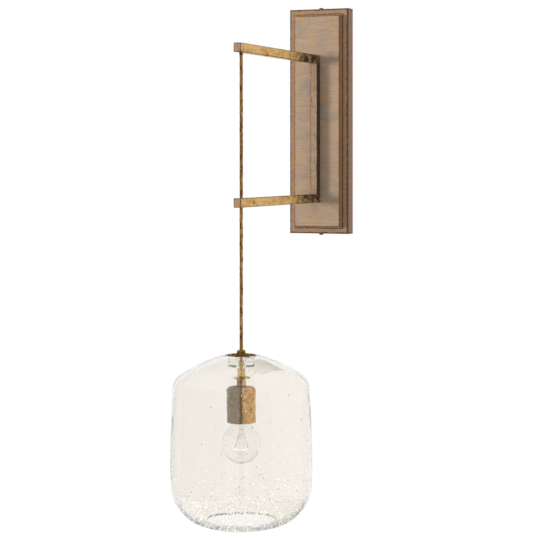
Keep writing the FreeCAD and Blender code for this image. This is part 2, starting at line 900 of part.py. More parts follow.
def make_socket_yoke():
    """A strap bent to a hat shape: its middle hangs on the nipple, its feet hold the lampholder."""
    inner = yoke_inner_reach
    outer = inner + yoke_sheet
    foot_end = outer + yoke_foot
    foot_top = holder_top + yoke_sheet
    half_section = [
        (outer, cup_inside_top),
        (outer, foot_top),
        (foot_end, foot_top),
        (foot_end, holder_top),
        (inner, holder_top),
        (inner, yoke_plate_base),
    ]
    other_half = [(-reach, height) for reach, height in reversed(half_section)]
    points = half_section + other_half
    corners = [at(-yoke_width / 2, rod_reach + reach, height) for reach, height in points]
    section = Part.Face(Part.makePolygon(corners + corners[:1]))
    strap = section.extrude(Vector(yoke_width, 0, 0))
    across = Vector(1, 0, 0)
    tops = edges_along(strap, across, lambda middle: middle.z > cup_inside_top - slip_gap)
    feet = edges_along(strap, across, is_foot_bend)
    strap = strap.makeFillet(yoke_bend, tops + feet)
    cuts = [upright_cylinder(nipple_radius + slip_gap, yoke_plate_base, cup_inside_top)]
    for side in (-1, 1):
        out = rod_reach + side * holder_screw_reach
        cuts.append(upright_cylinder(yoke_screw_radius + slip_gap, holder_top, foot_top, 0, out))
    return strap.cut(cuts)


def is_foot_bend(point):
    """Whether a point lies on the underside of the bend between a leg and its foot."""
    reach = abs(-point.y - rod_reach)
    return point.z < holder_top + slip_gap and reach < yoke_inner_reach + slip_gap


def make_yoke_nut():
    bore_radius = nipple_radius + thread_gap
    return hexagon_nut(yoke_nut_across, bore_radius, yoke_nut_base, yoke_plate_base)


def make_yoke_screws():
    seat = holder_top + yoke_sheet
    screws = []
    for side in (-1, 1):
        out = rod_reach + side * holder_screw_reach
        head_top = seat + yoke_screw_head_height
        head = upright_cylinder(yoke_screw_head_radius, seat, head_top, 0, out)
        tip = holder_top - yoke_screw_depth
        shank = upright_cylinder(yoke_screw_radius, tip, seat, 0, out)
        screws.append(head.fuse(shank).removeSplitter())
    return Part.makeCompound(screws)


def make_socket_body():
    """A porcelain drum with a well for the screw shell and four screw holes beside the well."""
    drum = chamfered_ring(
        holder_radius, shell_radius + thread_gap, holder_base, holder_top, holder_chamfer
    )
    roof = upright_cylinder(shell_radius + thread_gap, cavity_top, holder_top)
    drum = drum.fuse(roof).removeSplitter()
    cuts = []
    for side in (-1, 1):
        out = rod_reach + side * holder_screw_reach
        bottom = holder_top - yoke_screw_depth - joint_gap
        radius = yoke_screw_radius + thread_gap
        cuts.append(upright_cylinder(radius, bottom, holder_top, 0, out))
        bottom = holder_top - terminal_screw_depth - joint_gap
        radius = terminal_screw_radius + thread_gap
        cuts.append(upright_cylinder(radius, bottom, holder_top, side * holder_screw_reach))
    return drum.cut(cuts)


def make_terminal_screws():
    """Two screws that stand in the drum, each with the end of a lead under its head."""
    under_head = holder_top + 2 * lead_radius + 2 * slip_gap
    screws = []
    for side in (-1, 1):
        x = side * holder_screw_reach
        head_top = under_head + terminal_head_height
        head = upright_cylinder(terminal_head_radius, under_head, head_top, x)
        tip = holder_top - terminal_screw_depth
        shank = upright_cylinder(terminal_screw_radius, tip, under_head, x)
        screws.append(head.fuse(shank).removeSplitter())
    return Part.makeCompound(screws)


def make_screw_shell():
    """A thin shell with a flange turned in at its top."""
    inner = shell_radius - shell_sheet
    base = cavity_top - shell_length
    flange = cavity_top - shell_sheet
    outline = Outline(shell_radius, cavity_top)
    outline.line_to(shell_radius, base)
    outline.line_to(inner, base)
    outline.line_to(inner, flange)
    outline.line_to(shell_flange_radius, flange)
    outline.line_to(shell_flange_radius, cavity_top)
    return outline.turned()


def make_centre_contact():
    """A sprung strip: fixed flat under the roof, cranked down to a pad over the lamp's tip."""
    pad_top = cavity_top - contact_drop + contact_sheet
    pad_base = cavity_top - contact_drop
    crank = contact_pad + 2 * contact_drop
    points = [
        (-contact_reach, cavity_top),
        (-crank, cavity_top),
        (-contact_pad, pad_top),
        (contact_pad, pad_top),
        (contact_pad, pad_base),
        (-contact_pad - contact_sheet / 2, pad_base),
        (-crank - contact_sheet / 2, cavity_top - contact_sheet),
        (-contact_reach, cavity_top - contact_sheet),
    ]
    start = rod_reach + contact_width / 2
    corners = [at(x, start, height) for x, height in points]
    section = Part.Face(Part.makePolygon(corners + corners[:1]))
    return section.extrude(Vector(0, contact_width, 0))


# ---------------------------------------------------------------- lamp


def bulb_side(sheet):
    """The points and circle centres of one side of the lamp's glass, from its pole to its neck.

    The waist's circle touches the ball's circle and the neck, where the neck starts.
    """
    ball = bulb_radius - sheet
    neck = bulb_neck_radius - sheet
    rise = lamp_cap_rim - bulb_neck_showing - bulb_centre
    spread = 2 * (bulb_radius - bulb_neck_radius)
    waist_arc = (rise**2 + bulb_neck_radius**2 - bulb_radius**2) / spread
    waist_centre = (bulb_neck_radius + waist_arc, bulb_centre + rise)
    share = ball / (bulb_radius + waist_arc)
    shoulder = (share * waist_centre[0], bulb_centre + share * rise)
    ball_centre = (0, bulb_centre)
    return [
        (ball_centre, (0, bulb_centre - ball)),
        (ball_centre, (ball, bulb_centre)),
        (ball_centre, shoulder),
        (waist_centre, (neck, waist_centre[1])),
    ]


def make_bulb_glass():
    """A ball that narrows through a waist to a neck, which goes up into the screw cap."""
    neck_top = lamp_cap_rim + bulb_neck_in_cap
    neck_radius = bulb_neck_radius - bulb_neck_step
    outline = Outline(0, lamp_base)
    for centre, point in bulb_side(0)[1:]:
        outline.arc_about(centre, point)
    outline.line_to(bulb_neck_radius, lamp_cap_rim)
    outline.line_to(neck_radius, lamp_cap_rim)
    outline.line_to(neck_radius, neck_top)
    outline.line_to(neck_radius - bulb_sheet, neck_top)
    outline.line_to(neck_radius - bulb_sheet, lamp_cap_rim - bulb_sheet)
    inside = bulb_side(bulb_sheet)
    outline.line_to(bulb_neck_radius - bulb_sheet, lamp_cap_rim - bulb_sheet)
    outline.line_to(*inside[-1][1])
    for (centre, _), (_, point) in zip(inside[:0:-1], inside[-2::-1]):
        outline.arc_about(centre, point)
    return outline.turned()


def make_bulb_cap():
    """The lamp's screw shell, with a bead at its open end and its top turned in."""
    top = lamp_tip - tip_height - insulator_height
    inner = cap_shell_radius - cap_shell_sheet
    bead_top = lamp_cap_rim + cap_bead_height
    bead_radius = cap_shell_radius + cap_bead - cap_shell_sheet / 2
    outline = Outline(inner, lamp_cap_rim)
    outline.line_to(bead_radius, lamp_cap_rim)
    outline.arc_through(
        (bead_radius + cap_shell_sheet / 2, lamp_cap_rim + cap_bead_height / 2),
        (bead_radius, bead_top),
    )
    outline.line_to(cap_shell_radius, bead_top + cap_bead)
    outline.line_to(cap_shell_radius, top - cap_bead)
    outline.line_to(insulator_base_radius + cap_shell_sheet, top)
    outline.line_to(insulator_base_radius, top)
    outline.line_to(insulator_base_radius, top - cap_shell_sheet - cap_bead)
    outline.line_to(inner, top - cap_shell_sheet - 2 * cap_bead)
    return outline.turned()


def make_bulb_insulator():
    top = lamp_tip - tip_height
    base = top - insulator_height
    outline = Outline(0, base)
    outline.line_to(insulator_base_radius - slip_gap, base)
    outline.line_to(insulator_base_radius - slip_gap, base + cap_shell_sheet)
    outline.line_to(insulator_top_radius, top)
    outline.line_to(0, top)
    return outline.turned()


def make_bulb_tip():
    """A button of solder: part of a ball."""
    base = lamp_tip - tip_height
    ball_radius = (tip_radius**2 + tip_height**2) / (2 * tip_height)
    outline = Outline(0, base)
    outline.line_to(tip_radius, base)
    outline.arc_about((0, lamp_tip - ball_radius), (0, lamp_tip))
    return outline.turned()


def stem_foot():
    """The height of the stem's lower end, where its button is."""
    return lamp_cap_rim + bulb_neck_in_cap - stem_length


def make_bulb_stem():
    """A flared glass funnel sealed in the neck, a rod below it and a button at its end."""
    top = lamp_cap_rim + bulb_neck_in_cap
    flare_radius = bulb_neck_radius - bulb_neck_step - bulb_sheet - slip_gap
    throat = top - flare_length
    foot = stem_foot()
    throat_radius = stem_radius - bulb_sheet
    outline = Outline(0, foot)
    outline.arc_about((0, foot + button_radius), (button_radius, foot + button_radius))
    button_side = height_on_circle((0, foot + button_radius), button_radius, stem_radius, 1)
    outline.arc_about((0, foot + button_radius), (stem_radius, button_side))
    outline.line_to(stem_radius, throat)
    waist_height = top - flare_waist_drop
    outline.arc_through((flare_waist_radius, waist_height), (flare_radius, top))
    outline.line_to(flare_radius - bulb_sheet, top)
    inner_waist = (flare_waist_radius - bulb_sheet, waist_height + bulb_sheet)
    outline.arc_through(inner_waist, (throat_radius, throat))
    outline.line_to(0, throat - stem_radius)
    return outline.turned()


def filament_height():
    return lamp_cap_rim + bulb_neck_in_cap - filament_drop


def on_filament(angle):
    """A point on the filament's arc, at an angle from its middle."""
    turn = math.radians(angle)
    x = filament_arc_radius * math.sin(turn)
    return at(x, rod_reach + filament_arc_radius * math.cos(turn), filament_height())


def filament_angles():
    """The angles of the filament's ends and of the supports between them."""
    steps = support_count + 1
    return [filament_arc_angle * (index / steps - 0.5) for index in range(steps + 1)]


def make_bulb_filament():
    """A thread strung in straight stretches from support to support."""
    return wire_along([on_filament(angle) for angle in filament_angles()], filament_radius)


def make_bulb_wires():
    """Two lead-in wires and a fan of supports, from the stem's button out to the filament."""
    angles = filament_angles()
    button = at(0, rod_reach, stem_foot() + button_radius)
    wires = []
    for side, angle in ((-1, angles[0]), (1, angles[-1])):
        foot = at(side * stem_radius / 2, rod_reach, stem_foot() + button_length)
        wires.append(straight_wire(foot, on_filament(angle), lead_in_radius))
    for angle in angles[1:-1]:
        wires.append(straight_wire(button, on_filament(angle), support_radius))
    held = [make_bulb_stem(), make_bulb_filament()]
    return Part.makeCompound([wire.cut(held) for wire in wires])


# ---------------------------------------------------------------- leads


def lead_points(side):
    """One lead's route: connector, backplate, upright, upper arm, rod, lampholder terminal."""
    x = side * lead_offset
    arm_height = upper_arm_height + lead_arm_rise
    grip = connector_height + connector_mouth_depth + connector_grip_depth - joint_gap
    on_drum = holder_top + lead_radius + slip_gap
    beside_screw = rod_reach + terminal_screw_radius + lead_radius + slip_gap
    return [
        at(side * connector_place, connector_out, grip),
        at(side * connector_place, connector_out, upright_centre),
        at(x, connector_out, upright_centre),
        at(x, lead_upright_out, upright_centre),
        at(x, lead_upright_out, arm_height),
        at(x, rod_reach, arm_height),
        at(x, rod_reach, on_drum),
        at(side * holder_screw_reach, beside_screw, on_drum),
    ]


def make_leads():
    in_plate_and_upright = [lead_bend] * 4
    bends = in_plate_and_upright + [lead_rod_bend, lead_socket_bend]
    return Part.makeCompound(
        [bent_wire(lead_points(side), lead_radius, bends) for side in (-1, 1)]
    )


def make_lead_grommet():
    start = backing_front - grommet_flange_thickness
    end = panel_front + bar_wall + grommet_end
    height = upright_centre
    radius = grommet_radius - slip_gap
    sleeve = outward_cylinder(radius, backing_front, end, 0, height)
    flange = outward_cylinder(grommet_flange_radius, start, backing_front, 0, height)
    bore = outward_cylinder(grommet_bore_radius, start, end, 0, height)
    return sleeve.fuse(flange).removeSplitter().cut(bore)


def make_wire_connectors():
    """Cone-shaped caps: a wide mouth, then a narrow grip around the lead's end."""
    top = connector_height + connector_length
    crown = top - connector_bevel
    mouth_top = connector_height + connector_mouth_depth
    grip_top = mouth_top + connector_grip_depth
    tip_radius_top = connector_top_radius - connector_bevel
    connectors = []
    for side in (-1, 1):
        x = side * connector_place
        base = at(x, connector_out, connector_height)
        body_height = crown - connector_height
        body = Part.makeCone(connector_radius, connector_top_radius, body_height, base, up)
        crown_base = at(x, connector_out, crown)
        end = Part.makeCone(connector_top_radius, tip_radius_top, connector_bevel, crown_base, up)
        mouth = Part.makeCone(
            connector_mouth_radius, 2 * lead_radius, connector_mouth_depth, base, up
        )
        grip_radius = lead_radius + slip_gap
        grip = upright_cylinder(grip_radius, mouth_top, grip_top, x, connector_out)
        connectors.append(body.fuse(end).cut([mouth, grip]))
    return Part.makeCompound(connectors)


# ---------------------------------------------------------------- earthing


def earth_ends():
    """Height, face and thickness of the steel at each end, and the side that the head is on."""
    return [
        (earth_screw_height, strip_thickness, strip_thickness, 1),
        (earth_far_height, backing_front, backing_thickness, -1),
    ]


def make_earth_screws():
    screws = []
    for height, seat, thickness, side in earth_ends():
        under_head = seat + side * earth_ring_thickness
        head_end = under_head + side * earth_head_height
        tip = seat - side * (thickness - slip_gap)
        head = outward_cylinder(earth_head_radius, under_head, head_end, 0, height)
        shank = outward_cylinder(earth_screw_radius, under_head, tip, 0, height)
        screws.append(head.fuse(shank).removeSplitter())
    return Part.makeCompound(screws)


def make_earth_lead():
    """A wire between two ring terminals, each a washer with a tongue."""
    pieces = []
    points = []
    for height, seat, _, side in earth_ends():
        far = seat + side * earth_ring_thickness
        disc = outward_cylinder(earth_ring_radius, seat, far, 0, height)
        half_tongue = earth_tongue_width / 2
        tongue = block(
            earth_tongue_length, seat, far, height - half_tongue, height + half_tongue,
            earth_tongue_length / 2,
        )
        bore = outward_cylinder(earth_screw_radius + slip_gap, seat, far, 0, height)
        pieces.append(disc.fuse(tongue).cut(bore))
        wire_out = seat + side * (earth_lead_radius + slip_gap)
        wire_start = earth_tongue_length - 2 * earth_lead_radius
        stretch = [at(wire_start, wire_out, height), at(earth_lead_side, wire_out, height)]
        points += stretch if side > 0 else stretch[::-1]
    bends = [earth_lead_bend] * (len(points) - 2)
    pieces.append(bent_wire(points, earth_lead_radius, bends))
    return pieces[0].fuse(pieces[1:]).removeSplitter()


# ---------------------------------------------------------------- the whole


def make_nodes():
    return {
        "backplate": make_backplate(),
        "raised_panel": make_raised_panel(),
        "wall_bracket": make_wall_bracket(),
        "plate_screws": make_plate_screws(),
        "backing_strip": make_backing_strip(),
        "upright_washers": make_upright_washers(),
        "upright_screws": make_upright_screws(),
        "upright_inserts": make_upright_inserts(),
        "upright": make_upright(),
        "upper_arm": make_upper_arm(),
        "lower_arm": make_lower_arm(),
        "upper_arm_end": make_arm_end(upper_arm_height),
        "lower_arm_end": make_arm_end(lower_arm_height),
        "rod": make_rod(),
        "rod_ferrule": make_rod_ferrule(),
        "rod_hanger_nut": make_rod_hanger_nut(),
        "rod_guides": make_rod_guides(),
        "collar_nut": make_collar_nut(),
        "nipple": make_nipple(),
        "shade_cap": make_shade_cap(),
        "cap_gasket": make_cap_gasket(),
        "glass_shade": make_glass_shade(),
        "boss_gasket": make_boss_gasket(),
        "neck_coupling": make_neck_coupling(),
        "disc_washer": make_disc_washer(),
        "cup_collar": make_cup_collar(),
        "socket_cup": make_socket_cup(),
        "socket_yoke": make_socket_yoke(),
        "yoke_nut": make_yoke_nut(),
        "yoke_screws": make_yoke_screws(),
        "socket_body": make_socket_body(),
        "terminal_screws": make_terminal_screws(),
        "screw_shell": make_screw_shell(),
        "centre_contact": make_centre_contact(),
        "leads": make_leads(),
        "lead_grommet": make_lead_grommet(),
        "wire_connectors": make_wire_connectors(),
        "earth_screws": make_earth_screws(),
        "earth_lead": make_earth_lead(),
        "bulb_glass": make_bulb_glass(),
        "bulb_cap": make_bulb_cap(),
        "bulb_insulator": make_bulb_insulator(),
        "bulb_tip": make_bulb_tip(),
        "bulb_stem": make_bulb_stem(),
        "bulb_wires": make_bulb_wires(),
        "bulb_filament": make_bulb_filament(),
    }


def write_parts():
    os.makedirs("parts", exist_ok=True)
    for name, shape in make_nodes().items():
        solids = len(shape.Solids)
        print(f"{name}: {solids} solid(s), {shape.Volume:.1f} mm3, valid {shape.isValid()}")
        shape.exportStep(f"parts/{name}.step")


write_parts()
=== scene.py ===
import math
import random

import bpy
import bmesh
from mathutils import Matrix, Vector, noise


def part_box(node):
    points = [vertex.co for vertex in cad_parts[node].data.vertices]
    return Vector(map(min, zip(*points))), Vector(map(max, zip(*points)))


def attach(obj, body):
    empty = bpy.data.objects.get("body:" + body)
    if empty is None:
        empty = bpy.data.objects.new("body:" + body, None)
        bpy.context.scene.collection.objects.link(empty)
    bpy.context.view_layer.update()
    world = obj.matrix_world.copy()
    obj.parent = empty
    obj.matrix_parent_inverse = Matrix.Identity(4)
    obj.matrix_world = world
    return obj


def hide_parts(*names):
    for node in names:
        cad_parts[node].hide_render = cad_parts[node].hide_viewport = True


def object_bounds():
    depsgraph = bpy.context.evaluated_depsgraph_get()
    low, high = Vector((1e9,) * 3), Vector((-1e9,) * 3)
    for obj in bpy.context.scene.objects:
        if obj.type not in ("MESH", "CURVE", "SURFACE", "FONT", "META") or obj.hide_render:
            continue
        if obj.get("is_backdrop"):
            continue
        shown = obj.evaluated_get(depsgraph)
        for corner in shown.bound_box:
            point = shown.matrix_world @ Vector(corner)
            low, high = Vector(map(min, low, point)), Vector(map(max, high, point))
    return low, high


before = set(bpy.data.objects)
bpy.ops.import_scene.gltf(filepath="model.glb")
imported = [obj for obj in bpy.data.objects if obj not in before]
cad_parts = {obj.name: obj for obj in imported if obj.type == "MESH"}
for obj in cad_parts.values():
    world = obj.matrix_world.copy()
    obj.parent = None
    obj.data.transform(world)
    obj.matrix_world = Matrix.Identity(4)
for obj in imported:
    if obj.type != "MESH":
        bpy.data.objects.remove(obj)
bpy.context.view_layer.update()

# A wall sconce with a hanging glass shade, in metres, in the frame of the CAD model.
# X runs along the wall, -Y out into the room and +Z up.

MM = 0.001
rod_axis = Vector((0, -360 * MM, 0))
chance = random.Random(7)


# ---------------------------------------------------------------- node helpers


def tone(red, green, blue):
    """A colour given as it looks on a screen, from 0 to 255, as a linear one."""
    def linear(level):
        level /= 255
        return level / 12.92 if level <= 0.04045 else ((level + 0.055) / 1.055) ** 2.4
    return (linear(red), linear(green), linear(blue), 1.0)


class Finish:
    """A material under construction: short names for the nodes that it is made of."""

    def __init__(self, name, metallic=0.0, roughness=0.5):
        self.material = bpy.data.materials.new(name)
        self.material.use_nodes = True
        self.tree = self.material.node_tree
        self.tree.nodes.clear()
        out = self.tree.nodes.new("ShaderNodeOutputMaterial")
        self.shader = self.tree.nodes.new("ShaderNodeBsdfPrincipled")
        self.tree.links.new(self.shader.outputs[0], out.inputs[0])
        self.give("Metallic", metallic)
        self.give("Roughness", roughness)
        self.where = self.node("ShaderNodeTexCoord").outputs["Object"]

    def node(self, kind, **settings):
        made = self.tree.nodes.new(kind)
        for name, value in settings.items():
            setattr(made, name, value)
        return made

    def feed(self, socket, value):
        if hasattr(value, "is_output"):
            self.tree.links.new(value, socket)
        else:
            socket.default_value = value

    def give(self, name, value):
        self.feed(self.shader.inputs[name], value)

    def stretched(self, x=1.0, y=1.0, z=1.0, turn=(0, 0, 0)):
        made = self.node("ShaderNodeMapping")
        self.feed(made.inputs["Vector"], self.where)
        made.inputs["Scale"].default_value = (x, y, z)
        made.inputs["Rotation"].default_value = turn
        return made.outputs[0]

    def noise(self, scale, detail=4.0, rough=0.55, twist=0.0, vector=None):
        made = self.node("ShaderNodeTexNoise")
        self.feed(made.inputs["Vector"], vector or self.where)
        settings = {"Scale": scale, "Detail": detail, "Roughness": rough, "Distortion": twist}
        for name, value in settings.items():
            made.inputs[name].default_value = value
        return made.outputs["Fac"]

    def cells(self, scale):
        made = self.node("ShaderNodeTexVoronoi")
        self.feed(made.inputs["Vector"], self.where)
        made.inputs["Scale"].default_value = scale
        return made.outputs["Distance"]

    def sum(self, operation, first, second=0.0, clamp=False):
        made = self.node("ShaderNodeMath", operation=operation, use_clamp=clamp)
        self.feed(made.inputs[0], first)
        self.feed(made.inputs[1], second)
        return made.outputs[0]

    def step(self, value, start, end, low=0.0, high=1.0):
        """A smooth step from low to high as the value goes from start to end."""
        made = self.node("ShaderNodeMapRange", interpolation_type="SMOOTHSTEP")
        for socket, given in zip(made.inputs[:5], (value, start, end, low, high)):
            self.feed(socket, given)
        return made.outputs[0]

    def mix(self, share, first, second, blend="MIX"):
        made = self.node("ShaderNodeMix", data_type="RGBA", blend_type=blend)
        self.feed(made.inputs[0], share)
        self.feed(made.inputs[6], first)
        self.feed(made.inputs[7], second)
        return made.outputs[2]

    def ramp(self, value, stops):
        made = self.node("ShaderNodeValToRGB")
        self.feed(made.inputs[0], value)
        elements = made.color_ramp.elements
        elements[0].position, elements[0].color = stops[0]
        elements[1].position, elements[1].color = stops[-1]
        for position, color in stops[1:-1]:
            elements.new(position).color = color
        return made.outputs[0]

    def bump(self, height, distance, strength=1.0):
        made = self.node("ShaderNodeBump")
        made.inputs["Strength"].default_value = strength
        made.inputs["Distance"].default_value = distance
        self.feed(made.inputs["Height"], height)
        self.give("Normal", made.outputs[0])

    def place(self):
        made = self.node("ShaderNodeSeparateXYZ")
        self.feed(made.inputs[0], self.where)
        return made.outputs

    def facing(self, axis):
        """1 where the surface faces along an axis, either way, and 0 elsewhere."""
        made = self.node("ShaderNodeSeparateXYZ")
        self.feed(made.inputs[0], self.node("ShaderNodeNewGeometry").outputs["Normal"])
        return self.step(self.sum("ABSOLUTE", made.outputs[axis]), 0.6, 0.8)

    def arris_distance(self, low, high, sides="xyz"):
        """How far a point of a box's surface lies from the nearest arris."""
        gaps = []
        for axis, letter in enumerate("xyz"):
            value = self.place()[axis]
            if letter in sides:
                below = self.sum("SUBTRACT", value, low[axis])
                above = self.sum("SUBTRACT", high[axis], value)
                gaps.append(self.sum("MINIMUM", below, above))
            elif letter.upper() in sides:
                gaps.append(self.sum("SUBTRACT", value, low[axis]))
        if len(gaps) == 2:
            return self.sum("MAXIMUM", gaps[0], gaps[1])
        total = self.sum("ADD", self.sum("ADD", gaps[0], gaps[1]), gaps[2])
        least = self.sum("MINIMUM", self.sum("MINIMUM", gaps[0], gaps[1]), gaps[2])
        most = self.sum("MAXIMUM", self.sum("MAXIMUM", gaps[0], gaps[1]), gaps[2])
        return self.sum("SUBTRACT", self.sum("SUBTRACT", total, least), most)

    def band(self, distance, width, raggedness=0.35, scale=220.0):
        """1 within a width of zero distance, fading out with a ragged edge."""
        centred = self.sum("SUBTRACT", self.noise(scale, 3.0), 0.5)
        ragged = self.sum("MULTIPLY", centred, raggedness * width * 4)
        return self.step(self.sum("ADD", distance, ragged), 0.4 * width, width, 1.0, 0.0)


def dress(names, finish):
    for name in names:
        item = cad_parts[name]
        if not item.material_slots:
            item.data.materials.append(finish.material)
        for holder in item.material_slots:
            holder.material = finish.material


# ---------------------------------------------------------------- wood


def wood(name, low, high, pale, mid, deep, glaze, edge_width, cool, warm, sides="xYz"):
    """Stained wood: fine streaks along X, broad blotches, and arrises darkened with a glaze."""
    finish = Finish(name, roughness=0.55)
    streaks = finish.noise(1.0, 5.0, 0.68, 0.15, finish.stretched(30, 300, 760))
    fibres = finish.noise(1.0, 3.0, 0.7, 0.0, finish.stretched(60, 1100, 2200))
    blotches = finish.noise(1.0, 4.0, 0.6, 0.9, finish.stretched(26, 30, 34))
    clouds = finish.noise(1.0, 3.0, 0.55, 0.6, finish.stretched(34, 40, 30, (0.4, 0.2, 0.7)))
    grain = finish.ramp(streaks, [(0.20, deep), (0.46, mid), (0.74, pale)])
    grain = finish.mix(finish.step(fibres, 0.46, 0.70, 0.0, 0.14), grain, deep)
    grain = finish.mix(finish.step(blotches, 0.48, 0.68, 0.0, 0.62), grain, cool)
    grain = finish.mix(finish.step(clouds, 0.52, 0.70, 0.0, 0.50), grain, warm)
    pores = finish.step(finish.noise(1.0, 2.0, 0.5, 0.0, finish.stretched(120, 1400, 1400)), 0.67, 0.75)
    grain = finish.mix(finish.sum("MULTIPLY", pores, 0.35), grain, glaze)
    edge = finish.band(finish.arris_distance(low, high, sides), edge_width)
    finish.give("Base Color", finish.mix(finish.sum("MULTIPLY", edge, 0.9), grain, glaze))
    finish.give("Roughness", finish.step(streaks, 0.2, 0.8, 0.42, 0.62))
    height = finish.sum("ADD", streaks, finish.sum("MULTIPLY", fibres, 0.5))
    finish.bump(finish.sum("SUBTRACT", height, finish.sum("MULTIPLY", pores, 0.7)), 0.00025, 0.35)
    return finish, grain, edge


glaze = tone(56, 38, 18)
plate_low, plate_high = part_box("backplate")
panel_low, panel_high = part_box("raised_panel")
border, border_grain, border_edge = wood(
    "border_wood", plate_low, plate_high,
    tone(180, 146, 116), tone(162, 128, 98), tone(132, 98, 66), glaze,
    0.0034, tone(148, 124, 102), tone(180, 138, 90)
)
# glaze gathered round the foot of the panel, and painted crevice shade there
foot_x = border.sum("SUBTRACT", border.sum("ABSOLUTE", border.place()[0]), panel_high[0])
foot_z = border.sum("SUBTRACT", border.sum("ABSOLUTE", border.place()[2]), panel_high[2])
foot_glaze_and_shade = border.band(border.sum("MAXIMUM", foot_x, foot_z), 0.0020)
on_front = border.step(border.place()[1], plate_low[1] + 0.0004, plate_low[1] + 0.0012, 1.0, 0.0)
dark_share = border.sum("MAXIMUM", border_edge, border.sum("MULTIPLY", foot_glaze_and_shade, on_front))
# the sides along X are given a browner tone
browner_x_side = border.sum("MULTIPLY", border.facing(0), 0.7)
border_color = border.mix(browner_x_side, border_grain, tone(158, 108, 60))
border.give("Base Color", border.mix(border.sum("MULTIPLY", dark_share, 0.94), border_color, glaze))
dress(["backplate"], border)

ledge = Vector((0.0015, 0, 0.0015))
panel, panel_grain, panel_edge = wood(
    "panel_wood", panel_low + ledge, panel_high - ledge,
    tone(190, 163, 138), tone(174, 147, 122), tone(146, 119, 94), glaze, 0.0022,
    tone(140, 133, 126), tone(190, 150, 100)
)
beside_x = panel.sum("SUBTRACT", panel_high[0] - 0.0014, panel.sum("ABSOLUTE", panel.place()[0]))
beside_z = panel.sum("SUBTRACT", panel_high[2] - 0.0014, panel.sum("ABSOLUTE", panel.place()[2]))
on_ledge = panel.step(panel.sum("MINIMUM", beside_x, beside_z), -0.0003, 0.0002, 1.0, 0.0)
panel_dark = panel.sum("MULTIPLY", panel_edge, panel.sum("SUBTRACT", 1.0, on_ledge))
panel_color = panel.mix(panel.sum("MULTIPLY", panel_dark, 0.88), panel_grain, glaze)
panel_color = panel.mix(panel.sum("MULTIPLY", on_ledge, 0.5), panel_color, tone(176, 138, 92))
# painted shade: the panel's sides along X and Z are painted a darker golden brown
painted_side_shade = panel.sum("MULTIPLY", panel.sum("MAXIMUM", panel.facing(0), panel.facing(2)), 0.88)
panel.give("Base Color", panel.mix(painted_side_shade, panel_color, tone(168, 104, 34)))
dress(["raised_panel"], panel)


# ---------------------------------------------------------------- bar and metals


def gilded(name, low, high, pale, mid, brown, shade_from, shade_to, sides,
           along=(260, 34, 260), side_dark=0.0, metallic=0.4):
    """Old gold leaf over a brown ground: rubbed patches, dark arrises, and painted shade that darkens it
    towards the wall.
    """
    finish = Finish(name, metallic=metallic, roughness=0.42)
    patches = finish.noise(1.0, 6.0, 0.6, 0.8, finish.stretched(120, 60, 90))
    strokes = finish.noise(1.0, 4.0, 0.66, 0.2, finish.stretched(*along))
    flakes = finish.noise(1.0, 3.0, 0.7, 0.2, finish.stretched(620, 380, 620))
    color = finish.ramp(patches, [(0.3, brown), (0.43, mid), (0.62, pale)])
    color = finish.mix(finish.step(strokes, 0.50, 0.66, 0.0, 0.5), color, brown)
    color = finish.mix(finish.step(strokes, 0.30, 0.42, 0.6, 0.0), color, pale)
    color = finish.mix(finish.step(flakes, 0.56, 0.68, 0.0, 0.6), color, brown)
    color = finish.mix(finish.step(flakes, 0.30, 0.40, 0.7, 0.0), color, pale)
    # painted shade: darker in patches towards the wall, near the upright and plate
    wall_side = finish.step(finish.place()[1], shade_from, shade_to)
    wall_shade = finish.sum("MULTIPLY", wall_side, finish.step(patches, 0.42, 0.60, 1.0, 0.35))
    color = finish.mix(wall_shade, color, tone(44, 30, 12))
    color = finish.mix(finish.sum("MULTIPLY", finish.facing(0), side_dark), color, tone(40, 24, 8))
    edge = finish.band(finish.arris_distance(low, high, sides), 0.0013, 0.5, 300.0)
    finish.give("Base Color", finish.mix(finish.sum("MULTIPLY", edge, 0.9), color, tone(48, 32, 14)))
    finish.give("Roughness", finish.step(patches, 0.3, 0.7, 0.52, 0.34))
    finish.bump(finish.sum("ADD", patches, finish.sum("MULTIPLY", flakes, 0.4)), 0.0004, 0.35)
    return finish


# Y in metres where the painted shade starts and where it is darkest; the second pair lies behind the
# wall, so a piece that has it gets no painted shade
arm_shade, never_dark = ((-0.175, -0.105), (1.0, 2.0))
for arm in ("upper_arm", "lower_arm"):
    low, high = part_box(arm)
    dress([arm], gilded(
        arm + "_gilt", low, high, tone(240, 200, 128), tone(222, 172, 92), tone(150, 108, 46),
        *arm_shade, "xz", metallic=0.75
    ))
for end in ("upper_arm_end", "lower_arm_end"):
    low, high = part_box(end)
    dress([end], gilded(
        end + "_gilt", low, high, tone(206, 164, 130), tone(190, 148, 114), tone(156, 114, 80),
        *never_dark, "xYz", (120, 120, 120)
    ))
low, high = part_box("upright")
dress(["upright"], gilded(
    "upright_gilt", low, high, tone(192, 162, 132), tone(180, 150, 120), tone(156, 124, 94),
    *never_dark, "xY", (60, 200, 60), 0.92
))


def aged_metal(name, pale, mid, dark, speckle, roughness=(0.28, 0.5), scale=1.0):
    """Old metal: a rubbed ground with darker patina, and fine specks."""
    finish = Finish(name, metallic=1.0)
    broad = finish.noise(90 * scale, 5.0, 0.6, 0.6)
    fine = finish.noise(900 * scale, 3.0, 0.7)
    specks = finish.step(finish.cells(950 * scale), 0.0, 0.3, 1.0, 0.0)
    color = finish.ramp(broad, [(0.32, dark), (0.5, mid), (0.68, pale)])
    color = finish.mix(finish.step(fine, 0.52, 0.7, 0.0, 0.7), color, dark)
    color = finish.mix(finish.sum("MULTIPLY", specks, speckle), color, dark)
    finish.give("Base Color", color)
    finish.give("Roughness", finish.step(broad, 0.3, 0.7, roughness[1], roughness[0]))
    finish.bump(finish.sum("SUBTRACT", fine, finish.sum("MULTIPLY", specks, 0.4)), 0.0002, 0.25)
    return finish


